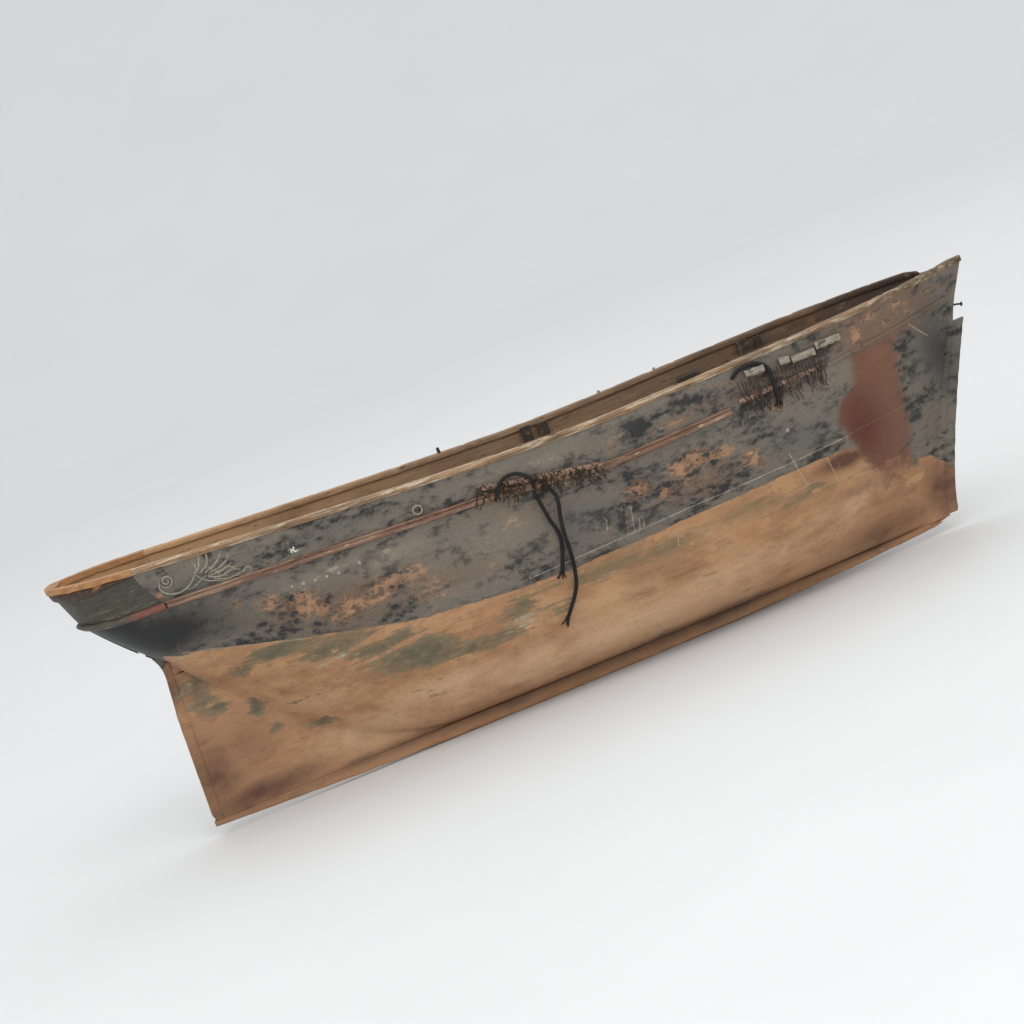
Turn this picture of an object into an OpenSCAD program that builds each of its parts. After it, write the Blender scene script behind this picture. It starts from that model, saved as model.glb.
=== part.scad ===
// Old wooden ship-model hull: a carved bread-and-butter hull with bulwarks, capped rails,
// channels, the remains of its rigging wires and cords, and no rudder or masts.
// The frame: +X to the bow, +Y to port, +Z up, the underside of the keel at Z = 0.

/* [Hull] */
// Length from the taffrail to the tip of the bow
hull_l = 1000; // [800:10:1300]
// Greatest beam over the planking
hull_b = 204; // [160:2:260]
// Height of the rail at its lowest, above the underside of the keel
rail_low_z = 265.5; // [250:0.5:320]
// Rise of the rail at the stern
rail_rise_aft = 44.5; // [20:0.5:60]
// Rise of the rail at the bow
rail_rise_fore = 0; // [0:1:30]
// Height of the bulwarks, from the deck line to the rail
bulwark_h = 46; // [36:1:60]

/* [Backbone] */
// Thickness of the keel, sternpost and cutwater across the ship
keel_w = 14; // [8:1:20]
// Depth of the keel amidships
keel_h = 16; // [12:1:22]
// Rocker of the keel: how far its underside rises towards the ends
keel_rocker = 10; // [0:1:11]
// Width of the sternpost along the ship
sternpost_t = 12; // [8:1:18]
// Width of the cutwater along the ship
cutwater_t = 12; // [8:1:18]
// Height of the top of the cutwater
cutwater_top_z = 204; // [185:1:215]

/* [Stern] */
// Length of the counter and stern that overhang the sternpost
overhang = 72; // [60:1:100]
// Height of the sternpost's head, where the counter starts
sternpost_top_z = 190; // [165:1:205]
// How far the sternpost's foot stands aft of its head
sternpost_rake = 15; // [0:1:20]
// How far the flat stern leans aft
stern_rake = 16; // [8:1:26]
// Thickness of the stern panel around the round stern
stern_t = 7; // [4:0.5:10]
// How far the stern panel lies behind the faces of the bulwarks
stern_recess = 2; // [0.5:0.5:3]
// Radius of the hole for the rudder's stock
rudder_hole_r = 6; // [3:0.5:8]

/* [Lifts] */
// Thickness of each level lift
lift_t = 40; // [30:1:46]
// Wall left around the hollow of the upper lifts
lift_wall = 18; // [12:1:26]
// Solid wood left at the fore end of the hollow
hollow_end_fore = 45; // [30:1:80]
// Solid wood left at the aft end of the hollow
hollow_end_aft = 28; // [20:1:60]

/* [Bulwarks and rails] */
// Thickness of the bulwarks
bulwark_t = 9; // [5:0.5:14]
// Thickness of the cap rail
cap_t = 6; // [4:0.5:9]
// How far the cap rail stands out on each side of the bulwark
cap_lip = 2.5; // [1:0.5:5]
// Depth of the rubbing strake
strake_h = 8; // [5:0.5:12]
// How far the rubbing strake stands out
strake_t = 4; // [2:0.5:7]
// Depth of the thin moulding at the bow
moulding_h = 4; // [2:0.5:6]

/* [Deck] */
// Thickness of the deck
deck_t = 3; // [2:0.5:6]
// Depth of a deck beam
beam_h = 9; // [6:1:14]
// Width of a deck beam
beam_w = 7; // [5:1:12]
// Radius of the holes for the masts
mast_r = 9; // [6:0.5:12]
// Height of the collar around a mast
partner_h = 6; // [3:0.5:10]

/* [Channels and remains] */
// Length of the main channel's batten
main_channel_l = 128; // [90:1:180]
// Length of the fore channel's batten
fore_batten_l = 96; // [60:1:120]
// Depth of a batten
batten_h = 6; // [4:0.5:9]
// Thickness of a batten
batten_t = 5; // [3:0.5:8]
// Thickness of a channel board
board_t = 8; // [4:0.5:12]
// Diameter of the chain wires
wire_d = 2; // [1.5:0.1:3]
// Diameter of the nail heads
nail_d = 4; // [3:0.5:6]
// Diameter of the tarred cord
cord_d = 4.2; // [3:0.1:6]

/* [Hidden] */

// Ends of the hull and of the sternpost along X
bow_x = hull_l / 2;
stern_x = -hull_l / 2;
post_x = stern_x + overhang;
knuckle_x = stern_x + stern_rake;
// The place of greatest beam, and the length of each side of it
wide_x = 0.1 * hull_l;
aft_l = wide_x - stern_x;
fore_l = bow_x - wide_x;
// Shape of the stem: where the cutwater's foot is, how far it curves forward, and the bow above it
stem_foot_x = bow_x - 95;
stem_foot_z = 25;
stem_curve = 75;
bow_rake = 32;
stem_half = 5;
// Length of the round stern, and where the bulwarks end in a curved edge
round_l = 110;
quarter_x = stern_x + 96;
quarter_curve = 20;
// Stations along the hull in each lofted piece
hull_n = 30;
rail_n = 36;
// Small clearance between pieces that are fitted together
fit_gap = 0.3;
// Places of the masts, as shares of the length from the stern
fore_mast_x = stern_x + 0.79 * hull_l;
main_mast_x = stern_x + 0.535 * hull_l;
mizzen_mast_x = stern_x + 0.285 * hull_l;
step_h = 14;
// Port is the positive side
STARBOARD = -1;
PORT = 1;

// ---- The shape of the hull ----

// Share of the way aft and forward from the greatest beam
function aft_share(x) = max(0, (wide_x - x) / aft_l);
function fore_share(x) = max(0, (x - wide_x) / fore_l);
// A sheer that is level at the greatest beam and ends in an even slope
sheer_bend = 0.25;
function sheer(a) = (sqrt(a * a + sheer_bend * sheer_bend) - sheer_bend)
    / (sqrt(1 + sheer_bend * sheer_bend) - sheer_bend);
// Heights of the rail's top and of the deck line
function rail_z(x) = rail_low_z + rail_rise_aft * sheer(aft_share(x))
    + rail_rise_fore * pow(fore_share(x), 1.6);
function deck_z(x) = rail_z(x) - bulwark_h;
// Height of the knuckle, where the counter meets the flat of the stern
knuckle_z = deck_z(knuckle_x) - 3;
// Front edge of the cutwater, and the fore end of the hull's body behind it
function stem_x(z) = stem_foot_x
    + stem_curve * pow(max(0, z - stem_foot_z) / (cutwater_top_z - stem_foot_z), 1.2);
function body_fore_x(z) = z <= cutwater_top_z
    ? stem_x(z) - cutwater_t
    : let (foot = stem_x(cutwater_top_z) - cutwater_t)
        foot + (bow_x - foot) * pow(min(1, (z - cutwater_top_z) / (rail_z(bow_x) - cutwater_top_z)), 1.2);
// Aft end of the hull's body: against the sternpost, then the counter, then the stern
body_post_x = post_x + sternpost_t;
function counter_x(z) = body_post_x - (body_post_x - knuckle_x)
    * pow(max(0, z - sternpost_top_z) / (knuckle_z - sternpost_top_z), 0.87);
function body_aft_x(z) = z <= sternpost_top_z
    ? body_post_x - sternpost_rake * (1 - z / sternpost_top_z)
    : z <= knuckle_z ? counter_x(z)
    : knuckle_x - stern_rake * min(1, (z - knuckle_z) / (rail_z(stern_x) - cap_t - knuckle_z));
// Height where the side starts to widen: the keel, the hollow run, then the counter
run_x = stern_x + 0.35 * hull_l;
function counter_z(x) = sternpost_top_z + (knuckle_z - sternpost_top_z)
    * pow((body_post_x - x) / (body_post_x - knuckle_x), 1.15);
function low_z(x) = x < body_post_x ? min(counter_z(x), deck_z(x) - 2)
    : x < run_x ? keel_h + (sternpost_top_z - keel_h) * pow((run_x - x) / (run_x - body_post_x), 2.2)
    : keel_h;
// Squareness of the section, and hollowness of its lower part: greatest a little before the
// sternpost, fading quickly into the counter and slowly into the run
function squareness(x) = 2.5 + 2.5 * min(1, max(0, (body_post_x + 50 - x) / 90));
hollow_x = body_post_x + 45;
counter_fade_l = 70;
run_fade_l = 150;
function hollow(x) = 1 + 1.6 * exp(-pow((x - hollow_x) / (x > hollow_x ? run_fade_l : counter_fade_l), 2));
function section(t, p) = pow(1 - pow(1 - t, p), 1 / p);
// The stern is round in plan above the sternpost
function round_off(x, z) = z <= sternpost_top_z || x > stern_x + round_l ? 1
    : let (w = min(1, (stern_x + round_l - x) / (stern_x + round_l - body_aft_x(z))))
        pow(1 - pow(w, 2.4), 1 / 2.2);
// Half the breadth of the hull at any place
function half_b(x, z) = let (
        low = low_z(x),
        t = min(1, max(0, (z - low) / (rail_z(x) - low))),
        aft = 1 - 0.4 * pow(aft_share(x), 0.95),
        u = min(1, max(0, (x - wide_x) / (body_fore_x(z) - wide_x))),
        fore = 1 - pow(u, 3.9 - 1.5 * (1 - z / rail_z(bow_x))))
    hull_b / 2 * aft * fore * pow(section(t, squareness(x)), hollow(x)) * round_off(x, z);
function side_y(x, z) = max(stem_half, half_b(x, z));

// Shares of the length, closer together at both ends
function share(i, n) = (1 - cos(180 * i / n)) / 2;
function between(a, b, s) = a + (b - a) * s;

// ---- Lofting ----

// A skin over rings of an even number of points; the ends are closed by strips, or joined to each other
module loft(rings, closed = false) {
    m = len(rings[0]);
    k = len(rings);
    points = [for (r = rings) for (p = r) p];
    turns = closed ? k : k - 1;
    sides = [for (i = [0:turns - 1]) for (j = [0:m - 1])
        let (a = i * m + j, b = i * m + (j + 1) % m,
            c = ((i + 1) % k) * m + (j + 1) % m, d = ((i + 1) % k) * m + j)
        each [[a, b, c], [a, c, d]]];
    far = (k - 1) * m;
    caps = closed ? [] : [for (j = [0:m / 2 - 2]) each [[j, m - 1 - j, m - 2 - j], [j, m - 2 - j, j + 1],
        [far + j, far + m - 2 - j, far + m - 1 - j], [far + j, far + j + 1, far + m - 2 - j]]];
    polyhedron(points = points, faces = concat(sides, caps), convexity = 6);
}

// ---- Level lifts ----

// The heights of a lift's levels
function lift_low(number) = keel_h + (number - 1) * lift_t;

// A solid lift between two level faces
module solid_lift(z0, z1) {
    levels = [z0, (z0 + z1) / 2, z1];
    loft([for (i = [0:hull_n])
        let (starboard = [for (z = levels)
            let (x = between(body_aft_x(z), body_fore_x(z), share(i, hull_n)))
            [x, -max(stem_half, half_b(x, z)), z]])
        concat(starboard, [for (j = [2:-1:0]) [starboard[j][0], -starboard[j][1], starboard[j][2]]])]);
}

// The height of one level of a hollow lift; the top lift ends at the deck line
function level_z(x, z0, z1, f) = z1 > 0 ? between(z0, z1, f) : between(z0, deck_z(x), f);
function level_aft(z0, z1, f) = body_aft_x(level_z(knuckle_x, z0, z1, f));
function level_fore(z0, z1, f) = body_fore_x(level_z(bow_x - bow_rake / 2, z0, z1, f));

// One upright slice through the wall of a hollow lift, outside up and inside down
function wall_slice(s, side, z0, z1, steps) = let (
        outside = [for (k = [0:steps])
            let (f = k / steps, x = between(level_aft(z0, z1, f), level_fore(z0, z1, f), s),
                z = level_z(x, z0, z1, f))
            [x, side * side_y(x, z), z]],
        inside = [for (k = [steps:-1:0])
            let (f = k / steps, a = level_aft(z0, z1, 0) + hollow_end_aft,
                b = level_fore(z0, z1, 0) - hollow_end_fore,
                x = min(b, max(a, between(level_aft(z0, z1, f), level_fore(z0, z1, f), s))),
                z = level_z(x, z0, z1, f))
            [x, side * max(1, side_y(x, z) - lift_wall), z]])
    concat(outside, inside);

// A hollow lift as one closed wall around the ship
module hollow_lift(z0, z1, steps) {
    loft(concat([for (i = [0:hull_n]) wall_slice(share(i, hull_n), STARBOARD, z0, z1, steps)],
        [for (i = [hull_n:-1:0]) wall_slice(share(i, hull_n), PORT, z0, z1, steps)]), closed = true);
}

module hull_lift_1() {
    color("#9a734f") solid_lift(lift_low(1), lift_low(2));
}

module hull_lift_2() {
    color("#96714f") solid_lift(lift_low(2), lift_low(3));
}

module hull_lift_3() {
    color("#8a6a4a") hollow_lift(lift_low(3), lift_low(4), 2);
}

module hull_lift_4() {
    color("#66605a") hollow_lift(lift_low(4), lift_low(5), 2);
}

// The top lift follows the deck line and holds the counter and the rudder's hole, which leans as the
// sternpost's after face does, and passes clear abaft it
rudder_lean = atan2(sternpost_rake, sternpost_top_z);
rudder_hole_x = post_x - rudder_hole_r - 4;
rudder_hole_z = 212;
rudder_hole_l = 28;
module top_lift() {
    color("#4a4a48") difference() {
        hollow_lift(lift_low(5), 0, 5);
        translate([rudder_hole_x, 0, rudder_hole_z]) rotate([0, rudder_lean, 0]) translate([0, 0, -30])
            cylinder(r = rudder_hole_r, h = rudder_hole_l + 30, $fn = 32);
    }
}

// ---- Backbone ----

// The keel ends forward in splinters where it has broken at the scarf; its underside has a rocker
keel_aft_x = post_x - sternpost_rake;
keel_fore_x = body_fore_x(keel_h);
keel_flat = 60;
module keel() {
    n = 8;
    function under(x, end) = keel_rocker * pow((abs(x) - keel_flat) / (abs(end) - keel_flat), 2);
    aft = [for (i = [0:n]) let (x = between(keel_aft_x, -keel_flat, i / n)) [x, under(x, keel_aft_x)]];
    fore = [for (i = [0:n]) let (x = between(keel_flat, keel_fore_x - 22, i / n)) [x, under(x, keel_fore_x)]];
    splinters = [[keel_fore_x - 15, 11], [keel_fore_x - 5, 9.5], [keel_fore_x - 11, 12.5],
        [keel_fore_x - 2, 13], [keel_fore_x - 6, 14.5], [keel_fore_x, keel_h], [keel_aft_x, keel_h]];
    color("#5d4030") translate([0, keel_w / 2, 0]) rotate([90, 0, 0]) linear_extrude(keel_w)
        polygon(concat(aft, fore, splinters));
}

// The cutwater lies along the front of the hull from the keel to its own top
module cutwater() {
    front = [for (k = [0:12]) let (z = between(stem_foot_z, cutwater_top_z, k / 12)) [stem_x(z), z]];
    back = [for (k = [12:-1:0]) let (z = between(keel_h, cutwater_top_z, k / 12)) [body_fore_x(z), z]];
    color("#4a3a30") translate([0, stem_half, 0]) rotate([90, 0, 0]) linear_extrude(2 * stem_half)
        polygon(concat(front, back));
}

module sternpost() {
    foot = body_aft_x(keel_h);
    head = body_aft_x(sternpost_top_z);
    color("#6a5240") translate([0, stem_half + 1, 0]) rotate([90, 0, 0]) linear_extrude(2 * stem_half + 2)
        polygon([[foot - sternpost_t, keel_h], [foot, keel_h], [head, sternpost_top_z],
            [head - sternpost_t + 4, sternpost_top_z]]);
}

// ---- Bulwarks and stern ----

bulwark_steps = 3;
// A share f of the way from the deck line to the underside of the cap
function bulwark_z(x, f) = between(deck_z(x), rail_z(x) - cap_t, f);
// The bulwarks end aft in a curved edge, lowest forward
function bulwark_aft(f) = quarter_x + quarter_curve * pow(1 - f, 1.4);
function bulwark_fore(f) = body_fore_x(bulwark_z(bow_x - bow_rake / 2, f));

module bulwark(side) {
    slices = [for (i = [0:hull_n])
        let (outside = [for (k = [0:bulwark_steps])
            let (f = k / bulwark_steps, x = between(bulwark_aft(f), bulwark_fore(f), share(i, hull_n)),
                z = bulwark_z(x, f))
            [x, side_y(x, z), z]])
        concat([for (p = outside) [p[0], side * p[1], p[2]]],
            [for (k = [bulwark_steps:-1:0]) [outside[k][0],
                side * max(0.2, outside[k][1] - bulwark_t), outside[k][2]]])];
    loft(side < 0 ? slices : [for (i = [hull_n:-1:0]) slices[i]]);
}

module bulwark_starboard() {
    color("#4a4a48") bulwark(STARBOARD);
}

module bulwark_port() {
    color("#6f5a44") bulwark(PORT);
}

// A band around the stern from one quarter to the other. Its levels are given by two functions
// of a share f: where its two ends are, and how high it is at any place. It has an outer face that
// stands out from the hull by skin, and it is t thick.
round_n = 14;
module stern_band(ends, height, skin, t, steps) {
    function slice(s, side) = let (
            outside = [for (k = [0:steps]) let (f = k / steps, z0 = height(knuckle_x, f),
                aft = body_aft_x(z0), x = between(aft, ends(f), s), z = height(x, f))
                [x - skin * (1 - s), side * (side_y(x, z) + skin), z]],
            inside = [for (k = [steps:-1:0]) let (f = k / steps, z0 = height(knuckle_x, f),
                aft = body_aft_x(z0), x = between(aft, ends(f), s), z = height(x, f))
                [max(x, aft + t - skin), side * max(1, side_y(x, z) + skin - t), z]])
        concat(outside, inside);
    function along(i) = 1 - cos(90 * i / round_n);
    loft(concat([for (i = [round_n:-1:0]) slice(along(i), STARBOARD)],
        [for (i = [0:round_n]) slice(along(i), PORT)]));
}

// The upper stern, which leans aft and runs round to the ends of the bulwarks
module stern_panel() {
    color("#43443a") stern_band(function(f) bulwark_aft(f), function(x, f) bulwark_z(x, f),
        -stern_recess, stern_t, 3);
}

// A moulding around the knuckle, where the counter meets the upper stern
moulding_t = 4;
module stern_moulding() {
    color("#5a463a") stern_band(function(f) quarter_x + quarter_curve, function(x, f) deck_z(x) - 6 + 6 * f,
        moulding_t, moulding_t, 2);
}

// ---- Rails and strakes ----

// A rail along the top of one bulwark between two places
module cap_rail(side, x0, x1) {
    slices = [for (i = [0:rail_n])
        let (x = between(x0, x1, i / rail_n), z = rail_z(x), y = side_y(x, z - cap_t))
        [[x, side * (y + cap_lip), z - cap_t], [x, side * (y + cap_lip), z],
            [x, side * max(0.2, y - bulwark_t - cap_lip), z],
            [x, side * max(0.2, y - bulwark_t - cap_lip), z - cap_t]]];
    loft(side < 0 ? slices : [for (i = [rail_n:-1:0]) slices[i]]);
}

// The port cap has lost its fore end
cap_break = 42;
module cap_rail_starboard() {
    color("#8f7555") cap_rail(STARBOARD, quarter_x, bow_x - 2);
}

module cap_rail_port() {
    color("#8f7555") cap_rail(PORT, quarter_x, bow_x - cap_break);
}

// The rail around the stern
module taffrail() {
    color("#7a5a40") stern_band(function(f) quarter_x, function(x, f) rail_z(x) - cap_t * (1 - f),
        cap_lip, bulwark_t + 2 * cap_lip, 1);
}

// The hanging moulding under the taffrail, deepest at the quarters
hang_h = 9;
module taffrail_moulding() {
    color("#4a2f28") stern_band(function(f) quarter_x,
        function(x, f) rail_z(x) - cap_t - (1 - f) * hang_h * (1 + 0.3 * (x - stern_x) / round_l),
        2, 2 + stern_recess, 1);
}

// A solid block that ties the bulwarks together at the bow, under the caps
module bow_chock() {
    n = 6;
    depth = 18;
    chock_aft_x = bow_x - 48;
    chock_fore_x = bow_x - 14;
    color("#4a3a2e") loft([for (i = [0:n])
        let (x = between(chock_aft_x, chock_fore_x, i / n), z = rail_z(x) - cap_t,
            top = max(0.3, side_y(x, z) - bulwark_t - fit_gap),
            low = max(0.2, side_y(x, z - depth) - bulwark_t - fit_gap))
        [[x, -low, z - depth], [x, -top, z], [x, top, z], [x, low, z - depth]]]);
}

// Drop of the strakes' centre below the rail, by share of the length from amidships
strake_drops = [[-0.49, 44], [-0.39, 45], [-0.24, 41], [-0.05, 38], [0.03, 43], [0.08, 47.5], [0.21, 45],
    [0.32, 41.5], [0.46, 34.5], [0.5, 33]];
function strake_z(x) = rail_z(x) - lookup(x / hull_l, strake_drops);

// A strip on the side: its centre runs straight or follows the strakes, and its back fits the hull
module side_strip(side, x0, x1, h, t, z0 = 0, z1 = 0) {
    n = max(4, round((x1 - x0) / 22));
    slices = [for (i = [0:n])
        let (x = between(x0, x1, i / n), z = z0 > 0 ? between(z0, z1, i / n) : strake_z(x),
            low = side_y(x, z - h / 2), top = side_y(x, z + h / 2))
        [[x, side * (low + t), z - h / 2], [x, side * (top + t), z + h / 2],
            [x, side * top, z + h / 2], [x, side * low, z - h / 2]]];
    loft(side < 0 ? slices : [for (i = [n:-1:0]) slices[i]]);
}

strake_aft_x = quarter_x + quarter_curve + fit_gap;
strake_fore_x = stern_x + 0.713 * hull_l;
module strake_starboard() {
    color("#7d4f44") side_strip(STARBOARD, strake_aft_x, strake_fore_x, strake_h, strake_t);
}

module strake_port() {
    color("#7d4f44") side_strip(PORT, strake_aft_x, strake_fore_x, strake_h, strake_t);
}

bow_moulding_aft_x = stern_x + 0.82 * hull_l;
bow_moulding_fore_x = bow_x - 34;
module bow_moulding_starboard() {
    color("#5a463a")
        side_strip(STARBOARD, bow_moulding_aft_x, bow_moulding_fore_x, moulding_h, moulding_h / 2);
}

module bow_moulding_port() {
    color("#5a463a") side_strip(PORT, bow_moulding_aft_x, bow_moulding_fore_x, moulding_h, moulding_h / 2);
}

// ---- Deck ----

deck_aft_x = knuckle_x + 27;
deck_fore_x = body_fore_x(deck_z(bow_x)) - 22;
module deck_plate() {
    loft([for (i = [0:hull_n])
        let (x = between(deck_aft_x, deck_fore_x, share(i, hull_n)), z = deck_z(x),
            y = side_y(x, z) - bulwark_t - stern_recess - fit_gap)
        [[x, -y, z], [x, -y, z + deck_t], [x, y, z + deck_t], [x, y, z]]]);
}

mast_places = [fore_mast_x, main_mast_x, mizzen_mast_x];
module deck() {
    color("#6e5a45") difference() {
        deck_plate();
        for (x = mast_places)
            translate([x, 0, deck_z(x) - deck_t]) cylinder(r = mast_r + 1, h = 4 * deck_t, $fn = 32);
    }
}

// Beams across the hollow at even spacing, left out where a mast comes down
beam_gap = 72;
module deck_beams() {
    first = post_x + hollow_end_aft + 40;
    last = stem_x(lift_low(5)) - cutwater_t - hollow_end_fore - 30;
    count = floor((last - first) / beam_gap);
    color("#7a6248") for (i = [0:count]) {
        x = first + i * beam_gap;
        top = min(deck_z(x - beam_w / 2), deck_z(x + beam_w / 2));
        reach = min(side_y(x - beam_w / 2, top - beam_h), side_y(x + beam_w / 2, top - beam_h))
            - lift_wall - fit_gap;
        if (min([for (m = mast_places) abs(m - x)]) > mast_r + beam_w)
            translate([x - beam_w / 2, -reach, top - beam_h]) cube([beam_w, 2 * reach, beam_h]);
    }
}

// A collar around a mast, standing on the deck
module partner(x) {
    top = max(deck_z(x - mast_r), deck_z(x + mast_r)) + deck_t;
    color("#6a5240") translate([x, 0, top]) difference() {
        cylinder(r = mast_r + 7, h = partner_h, $fn = 48);
        translate([0, 0, -1]) cylinder(r = mast_r, h = partner_h + 2, $fn = 48);
    }
}

module fore_mast_partner() {
    partner(fore_mast_x);
}

module main_mast_partner() {
    partner(main_mast_x);
}

module mizzen_mast_partner() {
    partner(mizzen_mast_x);
}

// A socket for a mast's heel, on top of the solid lifts
module mast_step(x) {
    color("#7a6248") translate([x, 0, lift_low(3)]) difference() {
        cylinder(r = mast_r + 6, h = step_h, $fn = 48);
        translate([0, 0, 4]) cylinder(r = mast_r, h = step_h, $fn = 48);
    }
}

module fore_mast_step() {
    mast_step(fore_mast_x);
}

module main_mast_step() {
    mast_step(main_mast_x);
}

module mizzen_mast_step() {
    mast_step(mizzen_mast_x);
}

// ---- Channels, wires and nails ----

// The main batten has slipped at its fore end
main_batten_x0 = stern_x + 0.447 * hull_l;
main_batten_z0 = rail_low_z - 20;
main_batten_z1 = rail_low_z - 45;
module main_channel_starboard() {
    color("#a08478") side_strip(STARBOARD, main_batten_x0, main_batten_x0 + main_channel_l,
        batten_h, batten_t, main_batten_z0, main_batten_z1);
}

module main_channel_port() {
    color("#a08478") side_strip(PORT, main_batten_x0, main_batten_x0 + main_channel_l, batten_h, batten_t,
        main_batten_z0, main_batten_z0);
}

// Broken lengths of the fore channel's board: place from the first piece, length, height above the first
fore_board_x0 = stern_x + 0.738 * hull_l;
fore_board_z = rail_low_z - 16;
fore_boards = [[0, 20, 0], [36, 11, -2], [49, 25, -5], [76, 27, -2]];
module fore_boards_on(side) {
    color("#a39b8c") for (b = fore_boards)
        side_strip(side, fore_board_x0 + b[0], fore_board_x0 + b[0] + b[1], 7, board_t,
            fore_board_z + b[2], fore_board_z + b[2] - 1);
}

module fore_channel_starboard() {
    fore_boards_on(STARBOARD);
}

module fore_channel_port() {
    fore_boards_on(PORT);
}

fore_batten_x0 = stern_x + 0.723 * hull_l;
fore_batten_z = rail_low_z - 39.5;
module fore_batten_starboard() {
    color("#6d4a33") side_strip(STARBOARD, fore_batten_x0, fore_batten_x0 + fore_batten_l,
        batten_h - 1, batten_t - 1, fore_batten_z, fore_batten_z);
}

module fore_batten_port() {
    color("#6d4a33") side_strip(PORT, fore_batten_x0, fore_batten_x0 + fore_batten_l,
        batten_h - 1, batten_t - 1, fore_batten_z, fore_batten_z);
}

// A straight stub of wire that hangs against the outside of a batten
module wire_stub(x, z, out, drop, lean) {
    translate([x, -(side_y(x, z) + out + wire_d / 2), z + 1]) rotate([0, 180 + lean, 0])
        cylinder(d = wire_d, h = drop, $fn = 16);
}

main_wire_n = 24;
module main_chain_wires() {
    color("#4a3c30") for (i = [0:main_wire_n - 1]) {
        s = (i + 0.6) / main_wire_n;
        wire_stub(main_batten_x0 + s * main_channel_l, between(main_batten_z0, main_batten_z1, s),
            batten_t, 14 + 5 * sin(137 * i), 9 * sin(83 * i));
    }
}

fore_wire_n = 14;
module fore_chain_wires() {
    color("#4a3c30") for (i = [0:fore_wire_n - 1]) {
        s = (i + 0.5) / fore_wire_n;
        wire_stub(fore_batten_x0 + s * fore_batten_l, fore_batten_z, batten_t - 1,
            13 + 5 * sin(97 * i), 8 * sin(71 * i));
    }
}

// A nail's head on the starboard side
module side_nail(x, z, d = nail_d) {
    translate([x, -side_y(x, z), z]) rotate([90, 0, 0]) cylinder(d = d, h = 1.6, $fn = 24);
}

// Heads left from the mizzen chains, one nail forward of them and one under the fore channel
mizzen_nail_x0 = stern_x + 0.239 * hull_l;
module side_nails() {
    color("#6b655c") union() {
        for (i = [0:4])
            side_nail(mizzen_nail_x0 + 12.2 * i, rail_low_z - 42 - 1.2 * i);
        side_nail(mizzen_nail_x0 + 72, rail_low_z - 45);
        side_nail(fore_batten_x0 + 35, rail_low_z - 86);
    }
}

// An eye bolt with its loose ring on the starboard side
ring_r = 4.5;
ring_wire = 1.6;
module ring_bolt() {
    x = stern_x + 0.386 * hull_l;
    z = rail_low_z - 13;
    color("#5a5046") translate([x, -side_y(x, z), z]) union() {
        rotate([90, 0, 0]) cylinder(d = ring_wire, h = 5, $fn = 16);
        translate([0, -5, -ring_r + 0.6]) rotate([90, 0, 0])
            rotate_extrude($fn = 32) translate([ring_r, 0]) circle(d = ring_wire, $fn = 16);
    }
}

// The nail driven into the bow above the cutwater
module bow_nail() {
    x = stem_x(cutwater_top_z) - cutwater_t;
    color("#b5aea2") translate([x + 6, 0, cutwater_top_z + 15]) rotate([0, 90, 0])
        union() {
            cylinder(d = 2, h = 9, $fn = 16);
            translate([0, 0, 8]) cylinder(d = 5, h = 1.5, $fn = 24);
        }
}

// ---- Fittings inside the port bulwark ----

ledge_w = 10;
ledge_t = 4;
// A shelf on the inside of the port bulwark
module ledge(x0, l) {
    n = 4;
    color("#6a5440") loft([for (i = [n:-1:0])
        let (x = x0 + l * i / n, z = ledge_z(x), y = side_y(x, z) - bulwark_t - fit_gap)
        [[x, y, z], [x, y, z + ledge_t], [x, y - ledge_w, z + ledge_t], [x, y - ledge_w, z]]]);
}

ledge_drop = 23;
function ledge_z(x) = rail_z(x) - ledge_drop;
main_ledge_x0 = stern_x + 0.499 * hull_l;
main_ledge_l = 52;
fore_ledge_x0 = stern_x + 0.745 * hull_l;
fore_ledge_l = 58;
module main_pin_ledge() {
    ledge(main_ledge_x0, main_ledge_l);
}

module fore_pin_ledge() {
    ledge(fore_ledge_x0, fore_ledge_l);
}

// Square posts that stand on a ledge
module post(x, w, h) {
    seat = max(ledge_z(x - w / 2), ledge_z(x + w / 2)) + ledge_t;
    y = min(side_y(x - w / 2, seat), side_y(x + w / 2, seat)) - bulwark_t - ledge_w + 0.5;
    translate([x - w / 2, y, seat]) cube([w, 6, h]);
}

module main_posts() {
    color("#5c4a3a") union() {
        post(main_ledge_x0 + 18, 11, 16);
        post(main_ledge_x0 + 37, 11, 14);
    }
}

module fore_posts() {
    color("#5c4a3a") union() {
        post(fore_ledge_x0 + 20, 13, 14);
        post(fore_ledge_x0 + 37, 7, 12);
    }
}

// A dark block on the deck by the port bulwark
block_l = 24;
block_w = 18;
block_h = 27;
module deck_block() {
    x = stern_x + 0.699 * hull_l;
    y = side_y(x, deck_z(x)) - bulwark_t - block_w - 4;
    seat = max(deck_z(x - block_l / 2), deck_z(x + block_l / 2)) + deck_t;
    color("#2f2a26") translate([x - block_l / 2, y, seat]) cube([block_l, block_w, block_h]);
}

// A peg standing in the port cap rail
module rail_peg() {
    x = stern_x + 0.423 * hull_l;
    color("#6a5440") translate([x, side_y(x, rail_z(x) - cap_t) - bulwark_t / 2, rail_z(x)])
        cylinder(d1 = 4, d2 = 3, h = 6, $fn = 24);
}

// Heads of nails on the port cap rail
module rail_nails() {
    color("#4a3c30") for (s = [0.605, 0.669])
        translate([stern_x + s * hull_l, side_y(stern_x + s * hull_l, rail_z(stern_x + s * hull_l) - cap_t)
            - bulwark_t / 2, rail_z(stern_x + s * hull_l)]) cylinder(d = nail_d - 1, h = 2.5, $fn = 16);
}

// ---- Quarter scrolls ----

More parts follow.
